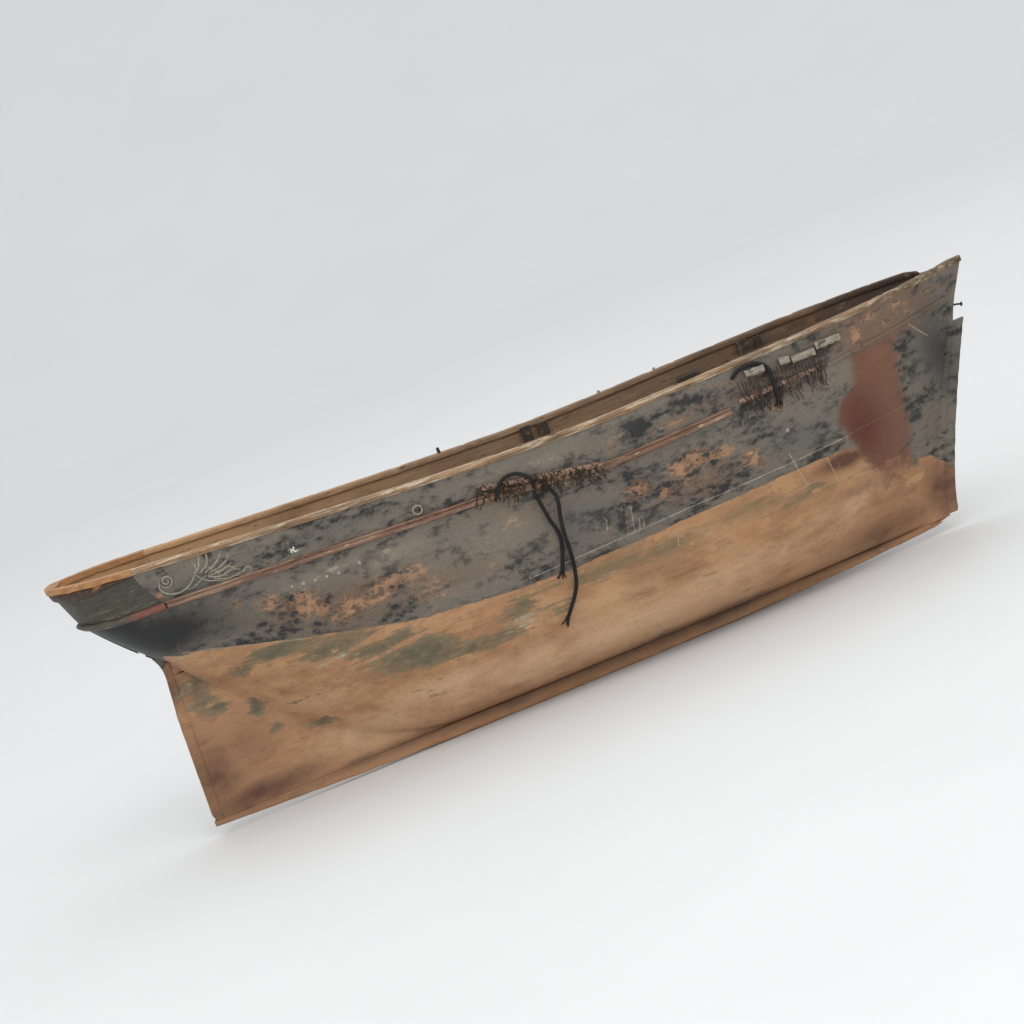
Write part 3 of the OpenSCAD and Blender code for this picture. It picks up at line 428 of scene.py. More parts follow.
# Spots of each coat: place along and up, half length, half height, strength
SPOTS = {
    "bare": [(-262, 205, 26, 18, .85), (-240, 192, 14, 16, .8), (-165, 190, 40, 16, .85),
             (-215, 182, 46, 18, .6),
             (-130, 165, 36, 20, .45), (-285, 218, 18, 12, .7), (-320, 228, 5, 3, .95),
             (98, 183, 19, 15, .85),
             (122, 170, 14, 9, .85), (88, 177, 10, 8, .7), (155, 190, 30, 13, .85), (182, 186, 22, 9, .85),
             (150, 176, 26, 16, .6), (165, 158, 24, 14, .5), (212, 166, 19, 12, .6), (358, 240, 9, 20, .8),
             (386, 237, 20, 8, .5), (374, 252, 24, 7, .6), (404, 250, 22, 8, .4), (425, 238, 16, 9, .3),
             (445, 250, 20, 6, .45), (100, 240, 12, 8, .5), (190, 246, 50, 5, .5), (150, 232, 60, 4, .5),
             (-180, 243, 26, 4, .6), (240, 214, 20, 12, .4), (258, 208, 10, 9, .85), (-388, 263, 5, 8, .9),
             (-30, 200, 14, 14, .35), (55, 165, 3, 14, .5), (-60, 165, 30, 16, .3), (300, 130, 20, 6, .3)],
    "wear": [(-200, 185, 90, 34, .9), (-110, 175, 80, 30, .7), (160, 165, 70, 24, .8),
             (220, 235, 120, 16, .6),
             (390, 240, 80, 26, 1.5), (-20, 205, 50, 20, .6), (-60, 225, 60, 12, .5), (110, 215, 60, 10, .5),
             (410, 120, 20, 30, .5), (-280, 200, 40, 26, .7), (340, 205, 20, 16, .6), (60, 240, 60, 14, .4)],
    "slate": [(-340, 262, 60, 16, .8), (-200, 262, 60, 10, .7), (40, 175, 44, 30, .8), (120, 150, 60, 12, .6),
              (270, 170, 40, 22, .9), (160, 212, 60, 10, .6), (110, 250, 50, 9, .5), (430, 170, 20, 46, .7),
              (-130, 150, 30, 8, .4), (220, 206, 24, 10, .5)],
    "dust": [(-60, 190, 80, 36, .75), (-150, 216, 60, 14, .9), (-90, 152, 60, 16, .6), (20, 246, 60, 12, .8),
             (-30, 252, 50, 9, .8), (300, 215, 50, 26, .6), (-300, 280, 80, 8, .5), (285, 188, 40, 22, .4),
             (-10, 175, 26, 34, .4), (322, 130, 18, 16, .5), (-210, 224, 70, 7, .9), (-260, 248, 120, 4, .8),
             (100, 256, 90, 5, .6), (430, 150, 14, 40, .35), (340, 210, 30, 20, .4), (-60, 100, 34, 10, .8),
             (-390, 196, 60, 4, .7), (-250, 136, 40, 8, .75), (-180, 126, 26, 7, .7), (40, 112, 20, 6, .6),
             (-395, 160, 20, 10, .5), (160, 112, 60, 4, .7)],
    "olive": [(-300, 166, 64, 13, .85), (-245, 150, 54, 15, .95), (-345, 158, 34, 12, .75),
              (-402, 150, 24, 28, .85),
              (-352, 112, 11, 13, .95), (-340, 84, 15, 8, .75), (-298, 72, 24, 9, .75),
              (-268, 110, 20, 8, .6),
              (-170, 108, 70, 24, 1), (-100, 95, 56, 13, .85), (-200, 132, 60, 14, .85),
              (-60, 112, 44, 18, .75),
              (-20, 95, 30, 9, .45), (265, 116, 16, 4, .7), (376, 88, 6, 10, .95), (-388, 128, 14, 8, .8),
              (-300, 105, 40, 3, .6), (340, 122, 16, 8, .4)],
    "smear": [(40, 120, 60, 13, .8), (110, 115, 50, 14, .8), (190, 120, 60, 12, .7), (250, 108, 50, 8, .7),
              (-20, 124, 40, 8, .6), (350, 70, 40, 22, .35), (265, 112, 14, 4, .9)],
    "ochre": [(-122, 118, 22, 7, .95), (-366, 168, 34, 12, .6), (-330, 152, 16, 9, .75),
              (-245, 146, 10, 5, .5),
              (-142, 127, 14, 6, .75), (120, 130, 30, 9, .5), (235, 127, 16, 10, .8), (370, 70, 16, 9, .7),
              (105, 190, 10, 8, .6), (90, 178, 10, 9, .5), (265, 109, 10, 3, .7), (-275, 122, 24, 8, .5),
              (0, 126, 90, 4, .45), (130, 112, 30, 8, .5), (-400, 176, 14, 8, .4), (-90, 134, 60, 3, .7)],
    # painted_sheen: a painted highlight along the bilge, where light thrown up off the floor falls
    "painted_sheen": [(0, 52, 240, 24, .9), (-150, 66, 80, 14, .8), (150, 58, 120, 22, .7), (280, 72, 60, 16, .6),
             (-60, 92, 30, 5, .4), (-270, 100, 80, 20, .3), (40, 88, 70, 12, .5), (-240, 46, 80, 22, .7)],
    # dark_stain_and_painted_shade: partly dark stain, partly painted shade along the keel, under the counter and at
    # the stem's foot
    "dark_stain_and_painted_shade": [(-425, 60, 46, 60, .8), (-390, 26, 90, 18, .9), (400, 46, 34, 46, .8), (0, 15, 520, 7, .8),
             (355, 92, 40, 16, .5), (330, 36, 70, 20, .6), (-430, 170, 20, 34, .9), (120, 20, 120, 7, .7),
             (-380, 75, 50, 46, .5), (300, 126, 36, 11, 1), (345, 112, 22, 14, .6), (300, 90, 40, 8, .3)],
    "red": [(334, 152, 30, 46, 1.1)],
    "splat": [(-246, 259, 11, 12, .75), (-244, 256, 5, 5, .95), (-254, 265, 4, 5, .6), (290, 107, 3, 3, 1),
              (-257, 280, 4, 3, .6), (-160, 57, 5, 3, .5), (50, 108, 6, 5, .4)],
    "calm": [(-410, 226, 74, 28, 1.3), (-450, 240, 60, 30, 1.3), (-345, 212, 34, 18, .5),
             (440, 185, 26, 50, .8)],
}

# Hull paint: brush-painted black over pine, now matt, flaked down to orange-brown wood and dulled by
# dust. Below its edge the pine is bare, with scraps of olive and ochre paint, a painted sheen on the bilge,
# and dark towards the keel and under the counter, partly with stain and partly with painted shade.
look = Finish("flaked_black_paint_over_pine")
field = {name: look.add("ShaderNodeAttribute", attribute_name=name).outputs["Fac"]
         for name in [*SPOTS, "patch", "paint", "scribe", "scratch"]}
big = look.grain(55, (1.7, 1, 1), 6, 0.65, 0.32, 0.68)
middling = look.grain(17, (2.2, 2.2, 1), 6, 0.6, 0.3, 0.7)
small = look.grain(6, (1.8, 1.8, 1), 4, 0.55, 0.3, 0.7)
fine = look.grain(1.5, (1.2, 1.2, 1), 3, 0.65, 0.3, 0.7)
streaks = look.grain(3.0, (16, 3, 1), 5, 0.62, 0.3, 0.7)
torn = look.shares(middling, small)
cloudy = look.shares(big, middling)
# The bare pine of the bottom, with a painted sheen along the bilge and dark stain and painted shade towards the
# keel
look.two_tones(look.ragged(0.0, cloudy, 1.0, 0.3, 0.0), "#7f583c", "#bb8f66", 0.6, 0.1)
look.coat(look.both(streaks, 0.4), "#bf9a74", 0.6, 0.06)
look.coat(look.both(look.ragged(0.0, torn, 1.0, 0.14, 0.16), 0.6), "#855e43", 0.55)
# Painted sheen: a lighter band along the bilge, painted where light from the floor falls on it
look.coat(look.ragged(field["painted_sheen"], cloudy, 1.0, 0.55, 0.6), "#d0ae8b", 0.5)
look.coat(look.both(look.shares(fine, streaks), 0.45), "#94694a", 0.6, 0.05)
# Dark brown towards the keel, under the counter and by the stem's foot: partly stain, partly painted shade
look.coat(look.ragged(field["dark_stain_and_painted_shade"], cloudy, 0.9, 0.4, 0.5), "#573929", 0.5)
# What is left of its olive and ochre paint
olive_tone = look.mix(small, "#564e3c", "#807158")
olive = look.ragged(field["olive"], look.shares(torn, streaks, 0.65), 1.5, 0.14, 0.5)
look.coat(look.both(olive, 0.9), olive_tone, 0.65, 0.1)
look.coat(look.both(look.ragged(field["olive"], cloudy, 1.2, 0.3, 0.95), 0.8), "#4a4f3e", 0.6, 0.05)
look.coat(look.ragged(field["smear"], look.shares(streaks, torn), 1.1, 0.3, 0.5), "#77654a", 0.65, 0.05)
look.coat(look.ragged(field["ochre"], torn, 1.2, 0.08, 0.5), "#a8815a", 0.65, 0.05)
dusty = look.ragged(field["dust"], look.shares(streaks, small), 1.2, 0.2, 0.75)
look.coat(dusty, "#a89a80", 0.85)
# The black topsides, their worn places and their dust
wander = look.shares(middling, small, 0.4)
above = look.ramp(look.plus(wander, 3.0, field["paint"]), 1.3, 1.9)
lost = look.ragged(field["bare"], torn, 1.5, 0.1, 0.5)
flecks = look.ragged(field["bare"], small, 1.0, 0.05, 0.66)
lost = look.add("ShaderNodeMath", {0: lost, 1: flecks}, operation="MAXIMUM").outputs[0]
kept = look.add("ShaderNodeMath", {0: 1.0, 1: lost}, operation="SUBTRACT").outputs[0]
black, tan = look.both(above, kept), look.both(above, lost)
look.coat(tan, look.mix(middling, "#76594a", "#a57c5a"), 0.7)
look.coat(look.both(tan, look.ragged(0.0, small, 1.0, 0.1, 0.1)), "#5b4637", 0.7)
mottle = look.shares(torn, fine, 0.85)
look.coat(black, look.mix(look.ragged(0.0, mottle, 1.0, 0.2, 0.0), "#262524", "#7d7468"), 0.6, 0.2)
slate = look.both(black, look.ragged(field["slate"], cloudy, 0.8, 0.4, 0.6))
look.coat(look.both(slate, 0.6), "#505253", 0.6)
brown_wear = look.both(black, look.ragged(field["wear"], torn, 1.2, 0.35, 0.6))
look.coat(look.both(brown_wear, 0.8), "#735a48", 0.7)
veil = look.both(above, look.ragged(field["dust"], look.shares(cloudy, mottle), 1.0, 0.5, 0.45))
look.coat(look.both(veil, 0.6), "#8f8475", 0.85)
rubs = look.both(above, look.ragged(field["dust"], look.shares(small, fine, 0.8), 1.0, 0.12, 1.0))
look.coat(rubs, "#a3927c", 0.85, 0.05)
look.coat(look.both(look.both(black, look.ragged(0.0, torn, 1.0, 0.2, 0.14)), 0.5), "#2b2a28", 0.6)
look.coat(look.both(look.ramp(field["calm"], 0, 1), above), "#1f1f1f", 0.5)
# The repaired place at the bow
bow_mask = look.ramp(look.plus(wander, 1.6, field["patch"]), 0.5, 1.5)
look.coat(bow_mask, look.mix(cloudy, "#563525", "#7a5540"), 0.45, -0.1)
look.coat(look.both(bow_mask, look.ragged(field["red"], cloudy, 0.8, 0.5, 0.6)), "#54291d", 0.45)
# Small marks everywhere: dark pits, pale specks, spilt white paint, the waterline and scratches
look.coat(look.grain(1.2, (1, 1, 1), 3, 0.6, 0.62, 0.74), "#2f2823", 0.8, -0.12)
look.coat(look.grain(1.4, (2, 2, 1), 4, 0.7, 0.67, 0.8), "#a8987f", 0.8, 0.06)
look.coat(look.ragged(field["splat"], look.shares(small, fine), 1.6, 0.06, 0.9), "#d8d4ca", 0.6, 0.3)
for name, half_width, colour in (("scribe", 0.35, "#a09c90"), ("scratch", 0.3, "#ab9a82")):
    off = look.add("ShaderNodeMath", {0: field[name]}, operation="ABSOLUTE").outputs[0]
    line = look.ramp(off, half_width, half_width + 0.5, 1.0, 0.0)
    look.coat(look.both(line, look.shares(small, fine)), colour, 0.8, -0.1)
hull_paint = look.done(0.35)

# Dusty old wood inside: never painted, rough from the saw, grey-brown amidships. Painted light
# makes it orange-brown aft, and painted shade makes it nearly black forward.
look = Finish("dusty_sawn_wood_painted_light_and_shade")
look.two_tones(look.grain(2.2, (14, 3, 1)), "#6f5a48", "#93795f", 0.8, 0.2)
# Painted light: a lighter orange-brown towards the stern
look.coat(look.along("X", -60, -330), "#b28d68", 0.75)
# Painted shade: nearly black towards the bow
look.coat(look.along("X", 60, 420), "#3f3128", 0.8)
look.coat(look.grain(26, (2, 1, 1), 6, 0.65, 0.5, 0.75), "#7d5f46", 0.8)
look.coat(look.grain(9, (3, 1, 1), 6, 0.65, 0.62, 0.8), "#a08b6e", 0.9)
look.coat(look.grain(3, (6, 3, 1), low=0.62, high=0.74), "#33261d", 0.8, -0.2)
inner_wood = look.done(0.3)

# ---- Hull of stacked lifts ----
# Five boards of pine, glued one on another and carved as one body. The lower two are solid and the
# upper three are hollowed from the deck down. Glue seams show as faint level lines.

LENGTH_STEPS = 300
# Shares of the length, closer together at both ends
LENGTH_SHARES = (1 - np.cos(np.pi * np.arange(LENGTH_STEPS + 1) / LENGTH_STEPS)) / 2


def solid_lift(z0, z1, rows):
    levels = np.linspace(z0, z1, rows + 1)
    rings = []
    for s in LENGTH_SHARES:
        x = body_aft_x(levels) + (body_fore_x(levels) - body_aft_x(levels)) * s
        y = side_y(x, levels)
        rings.append([*zip(x, -y, levels), *zip(x[::-1], y[::-1], levels[::-1])])
    return skin(rings)


def hollow_lift(z0, z1, rows):
    """A wall round the ship. With z1 of None it ends at the deck line."""
    def level(x, f):
        return z0 + ((deck_z(x) if z1 is None else z1) - z0) * f

    steps = np.linspace(0, 1, rows + 1)
    aft, fore = body_aft_x(level(KNUCKLE_X, steps)), body_fore_x(level(BOW_X - CHOCK_L, steps))
    inner = np.linspace(1, 0, 5)
    inner_aft, inner_fore = body_aft_x(level(KNUCKLE_X, inner)), body_fore_x(level(BOW_X - CHOCK_L, inner))
    rings = {-1: [], 1: []}
    for side in (-1, 1):
        for s in LENGTH_SHARES:
            x = aft + (fore - aft) * s
            z = level(x, steps)
            xi = np.clip(inner_aft + (inner_fore - inner_aft) * s, aft[0] + 28, fore[0] - 45)
            zi = level(xi, inner)
            rings[side].append([*zip(x, side * side_y(x, z), z),
                                *zip(xi, side * np.maximum(1, side_y(xi, zi) - LIFT_WALL), zi)])
    return skin(rings[-1] + rings[1][::-1], closed=True)


def bare_inside(obj, inside):
    """The faces that inside(centre, normal, depth) names take the piece's second material."""
    for face in obj.data.polygons:
        c = face.center * 1000
        if inside(c, face.normal, side_y(c.x, c.z) - abs(c.y)):
            face.material_index = 1


def lift_inside(c, n, depth):
    return depth > 2.5 and c.x < 470 and not (n.x < -0.3 and c.x < -400) or abs(n.z) > 0.97


for node, (points, faces), slot in (
        ("hull_lift_1", solid_lift(16, 56, 16), "bottom_wood"),
        ("hull_lift_2", solid_lift(56, 96, 14), "bottom_wood"),
        ("hull_lift_3", hollow_lift(96, 136, 14), "bottom_wood"),
        ("hull_lift_4", hollow_lift(136, 176, 14), "black_paint"),
        ("top_lift", hollow_lift(176, None, 26), "black_paint")):
    uneven(points, 60, 0.5)
    uneven(points, 14, 0.18, seed=7.0)
    lift = piece(f"{node}_carved", (points, faces), [hull_paint, inner_wood], [node])
    if node != "top_lift":
        bare_inside(lift, lift_inside)
        age(lift)

# The rudder's stock came up through the top lift just abaft the sternpost, along the post's rake
rake = math.atan2(POST_RAKE, POST_Z)
stock_lean = Vector((math.sin(rake), 0, math.cos(rake)))
drill_path = [Vector((-438, 0, 212)) + stock_lean * up for up in (-30, 28)]
drill = piece("drill", skin(tube(drill_path, 6, 40)), [inner_wood])
cut = lift.modifiers.new("rudder_hole", "BOOLEAN")
cut.operation = "DIFFERENCE"
cut.solver = "EXACT"
cut.object = drill
depsgraph = bpy.context.evaluated_depsgraph_get()
drilled = bpy.data.meshes.new_from_object(lift.evaluated_get(depsgraph))
lift.modifiers.clear()
lift.data = drilled
bpy.data.objects.remove(drill)
bare_inside(lift, lift_inside)
lift.data.set_sharp_from_angle(angle=math.radians(40))
age(lift)

# ---- Keel, sternpost and cutwater ----
# Straight dark hardwood, worn round at its corners. The keel has broken off in splinters at its
# fore end, where the stem's foot was scarfed on. The sternpost's after edge is rubbed pale.

look = Finish("rubbed_sternpost_wood")
look.two_tones(look.grain(1.8, (2, 2, 26)), "#6b4f3a", "#8f6c4c", 0.6, 0.2)
look.coat(look.grain(26, low=0.5, high=0.7), "#a98c66", 0.7)
look.coat(look.grain(7, (1, 1, 2), low=0.62, high=0.72), "#4b382c", 0.6, -0.2)
post_wood = look.done(0.35)


def bar(places, depth_of, half_width, corner=2.0, upright=False):
    """A bar with worn corners along X, or along Z when upright. depth_of gives its two faces."""
    rings = []
    for a in places:
        b0, b1 = depth_of(a)
        c = min(corner, (b1 - b0) * 0.3, half_width * 0.4)
        edge, k = half_width, c * 0.3
        loop = [(-edge, b0 + c), (-edge, b1 - c), (-edge + k, b1 - k), (-edge + c, b1),
                (edge - c, b1), (edge - k, b1 - k), (edge, b1 - c), (edge, b0 + c),
                (edge - k, b0 + k), (edge - c, b0), (-edge + c, b0), (-edge + k, b0 + k)]
        rings.append([(b, y, a) if upright else (a, y, b) for y, b in loop])
    return rings


def keel_faces(x):
    end = -431.0 if x < 0 else 363.0
    under = 10 * (max(0, abs(x) - 60) / (abs(end) - 60)) ** 2
    if x > 363:
        under = 10 + (x - 363) * 0.22
    return under, KEEL_H


keel_rings = bar(np.linspace(-441, 370, 260), keel_faces, 7.0)
keel_points, keel_skin = skin(keel_rings)
uneven(keel_points, 18, 0.5, 2, 3.0)
uneven(keel_points, 30, 0.5, 1, 5.0)
keel_points[:, 2] = np.clip(keel_points[:, 2], 0, None)
keel_parts = [(keel_points, keel_skin)]
# Splinters of several lengths at the broken fore end
for y, z, reach, thick in ((-5, 12.6, 14, 2.2), (-2.6, 14.4, 20, 1.6), (0, 12.9, 11, 2.4),
                           (2.4, 14.2, 17, 1.7),
                           (5, 13, 12, 2.1), (-4.6, 15, 9, 1.2), (-0.8, 11.8, 7, 1.6), (3.6, 12, 8, 1.5)):
    line = [(362, y, z), (372, y, z), (370 + reach * 0.6, y + 0.3, z + 0.3), (370 + reach, y, z + 0.8)]
    keel_parts.append(skin(tube(smooth_route(line, 4), lambda s, w=thick: w * (1 - 0.9 * s ** 2), 6)))
keel = piece("keel_worn", join(keel_parts), [hull_paint], ["keel"], 50)
age(keel)


def post_faces(z):
    fore = float(body_aft_x(min(z, POST_Z)))
    taper = 8 + 4 * min(1, max(0, (POST_Z - z) / 60))
    foot = 3.5 * max(0, 1 - (z - KEEL_H) / 9) ** 2
    sweep = 7.5 * max(0, (z - 168) / 31.5) ** 2.4
    return fore - taper + foot - sweep, fore + 0.6


post_points, post_skin = skin(bar(np.linspace(KEEL_H - 1, POST_Z + 9.5, 110), post_faces, 6.0, 2.4, True))
uneven(post_points, 16, 0.3, 0, 2.0)
post_points[:, 1] *= 0.88
sternpost = piece("sternpost_worn", (post_points, post_skin), [hull_paint, post_wood],
                  ["sternpost"], 50)
for face in sternpost.data.polygons:
    face.material_index = int(face.normal.x < -0.4 and face.center.z < 0.176)
age(sternpost)


def cutwater_faces(z):
    return float(body_fore_x(z)) - 1.0, float(stem_x(z)) - 2.5 * max(0, 1 - (z - 18) / 8) ** 2


points, faces = skin(bar(np.linspace(18, CUTWATER_Z, 110), cutwater_faces, STEM_HALF, 2.2, True))
uneven(points, 14, 0.5, 0, 6.0)
points[:, 1] *= np.interp(points[:, 2], [18, CUTWATER_Z], [1.0, 0.92])
age(piece("cutwater_worn", (points, faces), [hull_paint], ["cutwater"], 50))

# ---- Bulwarks ----
# Thin planks above the deck line, painted black outside and bare inside. They end aft in a curved
# edge, where the round stern starts.

SIDES = (("starboard", -1), ("port", 1))


def bulwark_end(f):
    return QUARTER_X + QUARTER_CURVE * (1 - f) ** 1.4


def bulwark(side, rows=13):
    steps, inner = np.linspace(0, 1, rows + 1), np.linspace(1, 0, 4)

    def edge_places(f, s):
        aft, fore = bulwark_end(f), BOW_X - CHOCK_L
        height = deck_z(fore) + (rail_z(fore) - CAP_T - deck_z(fore)) * f
        x = aft + (body_fore_x(height) - aft) * s
        z = deck_z(x) + (rail_z(x) - CAP_T - deck_z(x)) * f
        return x, z

    rings = []
    for s in LENGTH_SHARES:
        x, z = edge_places(steps, s)
        xi, zi = edge_places(inner, s)
        rings.append([*zip(x, side * side_y(x, z), z),
                      *zip(xi, side * np.maximum(0.2, side_y(xi, zi) - BULWARK_T), zi)])
    return skin(rings)


for name, side in SIDES:
    points, faces = bulwark(side)
    uneven(points, 50, 0.5)
    uneven(points, 12, 0.15, seed=7.0)
    wall = piece(f"bulwark_{name}_planks", (points, faces), [hull_paint, inner_wood],
                 [f"bulwark_{name}"])
    bare_inside(wall, lambda c, n, depth: depth > 3 and c.x < 488 and n.x > -0.7)
    age(wall)

# ---- Round stern ----
# The upper stern is bent round from one quarter to the other and painted olive-black. A moulding runs
# along the knuckle, and another hangs under the taffrail, chipped down to orange wood at its aft end.

STERN_STEPS = 60


def stern_band(end_of, height_of, most_out, thick, rows, rounded=0.0):
    """A U-shaped band: end_of(f) is where it ends and height_of(x, f) its levels. Its face stands
    most_out proud, and falls back by rounded towards both edges."""
    steps = np.linspace(0, 1, rows + 1)

    def half_slice(s, side):
        ring = []
        for f, outside in [(f, True) for f in steps] + [(f, False) for f in steps[::-1]]:
            skin_out = most_out - rounded * (2 * f - 1) ** 4
            aft = float(body_aft_x(height_of(KNUCKLE_X, f)))
            x = aft + (end_of(f) - aft) * s
            z = float(height_of(x, f))
            y = float(side_y(x, z)) + skin_out
            if outside:
                ring.append((x - skin_out * (1 - s), side * y, z))
            else:
                ring.append((max(x, aft + thick - skin_out), side * max(1, y - thick), z))
        return ring

    along = [1 - math.cos(math.pi / 2 * i / STERN_STEPS) for i in range(STERN_STEPS + 1)]
    return skin([half_slice(s, -1) for s in along[::-1]] + [half_slice(s, 1) for s in along])


# Olive-black paint: brushed, with grey streaks where it has worn and small pale chips.
look = Finish("worn_olive_black_paint")
look.two_tones(look.grain(3, (5, 5, 1)), "#302d25", "#4a4537", 0.55, 0.1)
look.coat(look.grain(4, (6, 6, 0.8), 5, 0.65, 0.56, 0.72), "#6b6556", 0.8, 0.05)
look.coat(look.grain(2.2, (2, 2, 1), 5, 0.65, 0.64, 0.74), "#8d8570", 0.8, 0.1)
stern_paint = look.done(0.4)
points, faces = stern_band(bulwark_end, lambda x, f: deck_z(x) + (BULWARK_H - CAP_T) * f, -0.6, 8.4, 12)
uneven(points, 20, 0.4)
stern_panel = piece("stern_panel_planks", (points, faces), [stern_paint, inner_wood],
                    ["stern_panel"])
bare_inside(stern_panel, lambda c, n, depth: depth > 6 and n.x > -0.2)

# Red-brown paint of mouldings and strakes: paler where rubbed, cream or bare along the high edges.
look = Finish("rubbed_red_moulding_paint")
look.two_tones(look.grain(12, (6, 2, 1)), "#5b4338", "#83614f", 0.65, 0.1)
look.coat(look.grain(10, (7, 2, 0.5), 5, 0.65, 0.44, 0.62), "#8f7663", 0.8, -0.05)
look.coat(look.grain(2.5, (5, 2, 1), low=0.58, high=0.72), "#bda78c", 0.8)
look.coat(look.grain(4, (5, 2, 1), 5, 0.65, 0.56, 0.7), "#3b322c", 0.7, 0.05)
strake_paint = look.done(0.3)
# The moulding round the stern is olive like the panel above it, and only turns red near the quarter.
look = Finish("olive_to_red_moulding_paint")
look.two_tones(look.grain(7, (3, 3, 1)), "#3c3a33", "#57544a", 0.6, 0.1)
look.coat(look.along("X", -432, -416), "#744a3f", 0.65)
look.coat(look.grain(4, (5, 5, 0.5), low=0.58, high=0.7), "#8c8170", 0.8, 0.05)
stern_moulding_paint = look.done(0.3)
look = Finish("chipped_dark_red_paint")
look.two_tones(look.grain(6), "#33271f", "#503a2e", 0.55, 0.1)
look.coat(look.grain(9, (2.2, 1, 1), 5, 0.65, 0.6, 0.68), "#9c6d42", 0.75, -0.2)
look.coat(look.grain(5, (2, 1, 1), 5, 0.65, 0.6, 0.7), "#6d3a30", 0.6)
look.coat(look.grain(4, (2, 1, 1), 5, 0.65, 0.58, 0.68), "#26211d", 0.6, 0.05)
taffrail_paint = look.done(0.35)



def knuckle_levels(x, f):
    """The moulding is 7 mm high and climbs 3.5 mm towards the quarter."""
    return deck_z(x) - 6.5 + 7 * f + 3.5 * np.clip((x + 440) / 50, 0, 1)


points, faces = stern_band(lambda f: QUARTER_X + QUARTER_CURVE - 2, knuckle_levels, 3.6, 4.4, 8, 2.0)
uneven(points, 10, 0.25, 2)
piece("stern_moulding_carved", (points, faces), [stern_moulding_paint], ["stern_moulding"])


def hanging_levels(x, f):
    """The moulding under the taffrail hangs 9.5 mm down and tapers off towards the quarter."""
    return rail_z(x) - CAP_T - (1 - f) * 9.5 * np.clip((-398 - x) / 62, 0.1, 1)


points, faces = stern_band(lambda f: QUARTER_X, hanging_levels, 2.0, 4.0, 6, 1.4)
uneven(points, 9, 0.4, 2)
piece("taffrail_moulding_carved", (points, faces), [taffrail_paint], ["taffrail_moulding"])

# ---- Cap rails and taffrail ----
# Planks along the top of the bulwarks, once varnished, with a bead on their outer edge. The varnish
# has gone, the top is scuffed white and the edges are rubbed round. The port cap's fore end is gone.

look = Finish("scuffed_varnished_wood")
look.two_tones(look.grain(2, (20, 3, 1)), "#7d6149", "#a98866", 0.65, 0.2)
look.coat(look.grain(30, (3, 1, 1), 5, 0.6, 0.45, 0.7), "#6d5a49", 0.7)
look.coat(look.grain(6, (7, 1, 0.6), 6, 0.7, 0.5, 0.62), "#c0ae96", 0.85, 0.08)
look.coat(look.grain(12, (2, 1, 1), 6, 0.7, 0.6, 0.7), "#9a6b42", 0.7, -0.05)
look.coat(look.grain(3, (4, 1, 1), 5, 0.7, 0.6, 0.7), "#352a22", 0.7, -0.25)
grime = look.both(look.along("X", 120, 420), look.grain(8, (3, 1, 1), 5, 0.65, 0.35, 0.6))
look.coat(look.both(grime, 0.85), "#4f4436", 0.8)
cap_wood = look.done(0.3)
# The taffrail's bare wood is orange where the varnish has chipped off.
look = Finish("chipped_orange_wood")
look.two_tones(look.grain(2, (6, 6, 2)), "#8a6140", "#b58453", 0.6, 0.2)
look.coat(look.grain(12, (2, 2, 1), 5, 0.65, 0.6, 0.68), "#4c3527", 0.6, 0.1)
look.coat(look.grain(5, (3, 2, 1), 5, 0.65, 0.62, 0.72), "#d0b890", 0.8)
taffrail_wood = look.done(0.35)

# Outline of the rail's section: in from its outer edge, and up from its underside
CAP_OUTLINE = [(1.6, 0), (0.9, 1.4), (1.3, 2.0), (0.4, 2.5), (0, 3.4), (0.1, 4.6), (0.7, 5.5), (1.8, 6),
               (5, 6), (9, 6), (12.4, 5.9), (13.5, 5.4), (14, 4.5), (14, 1), (13.3, 0)]


def cap_rail(side, x0, x1, n=420):
    rings = []
    for x in np.linspace(x0, x1, n + 1):
        z = float(rail_z(x))
        y = float(side_y(x, z - CAP_T))
        rings.append([(x, side * max(0.2, y + CAP_LIP - inward), z - CAP_T + height) for inward,
                      height in CAP_OUTLINE])
    return skin(rings)


for name, side, end in (("starboard", -1, 498.0), ("port", 1, 458.0)):
    points, faces = cap_rail(side, QUARTER_X, end)
    uneven(points, 9, 0.35, 1, 1.0)
    uneven(points, 22, 0.5, 2, 2.0)
    wear = np.array([max(0.0, noise.noise(Vector((p[0] / 11, p[1] / 5, 4.0))) - 0.25) for p in points])
    points[:, 2] -= wear * 3.2 * (points[:, 2] > rail_z(points[:, 0]) - 2)
    if side > 0:
        points[:, 2] -= np.maximum(0, points[:, 0] - 446) * 0.25 * (points[:, 2] > rail_z(points[:, 0]) - 4)
    points[:, 2] = np.minimum(points[:, 2], rail_z(np.maximum(points[:, 0], STERN_X)))
    piece(f"cap_rail_{name}_worn", (points, faces), [cap_wood if side < 0 else inner_wood],
          [f"cap_rail_{name}"], 35)

points, faces = stern_band(lambda f: QUARTER_X, lambda x, f: rail_z(x) - CAP_T * (1 - f), CAP_LIP,
                           BULWARK_T + 2 * CAP_LIP, 5)
uneven(points, 10, 0.7, 2, 2.0)
uneven(points, 12, 0.6, 1, 2.0)
points[:, 2] = np.minimum(points[:, 2], rail_z(np.maximum(points[:, 0], STERN_X)))
piece("taffrail_worn", (points, faces), [taffrail_wood], ["taffrail"], 35)

# ---- Strakes and bow mouldings ----
# Rubbing strakes of soft wood, nailed on: a bead along the top, a groove, and a flat that rounds off
# below. The bow has a thinner moulding.

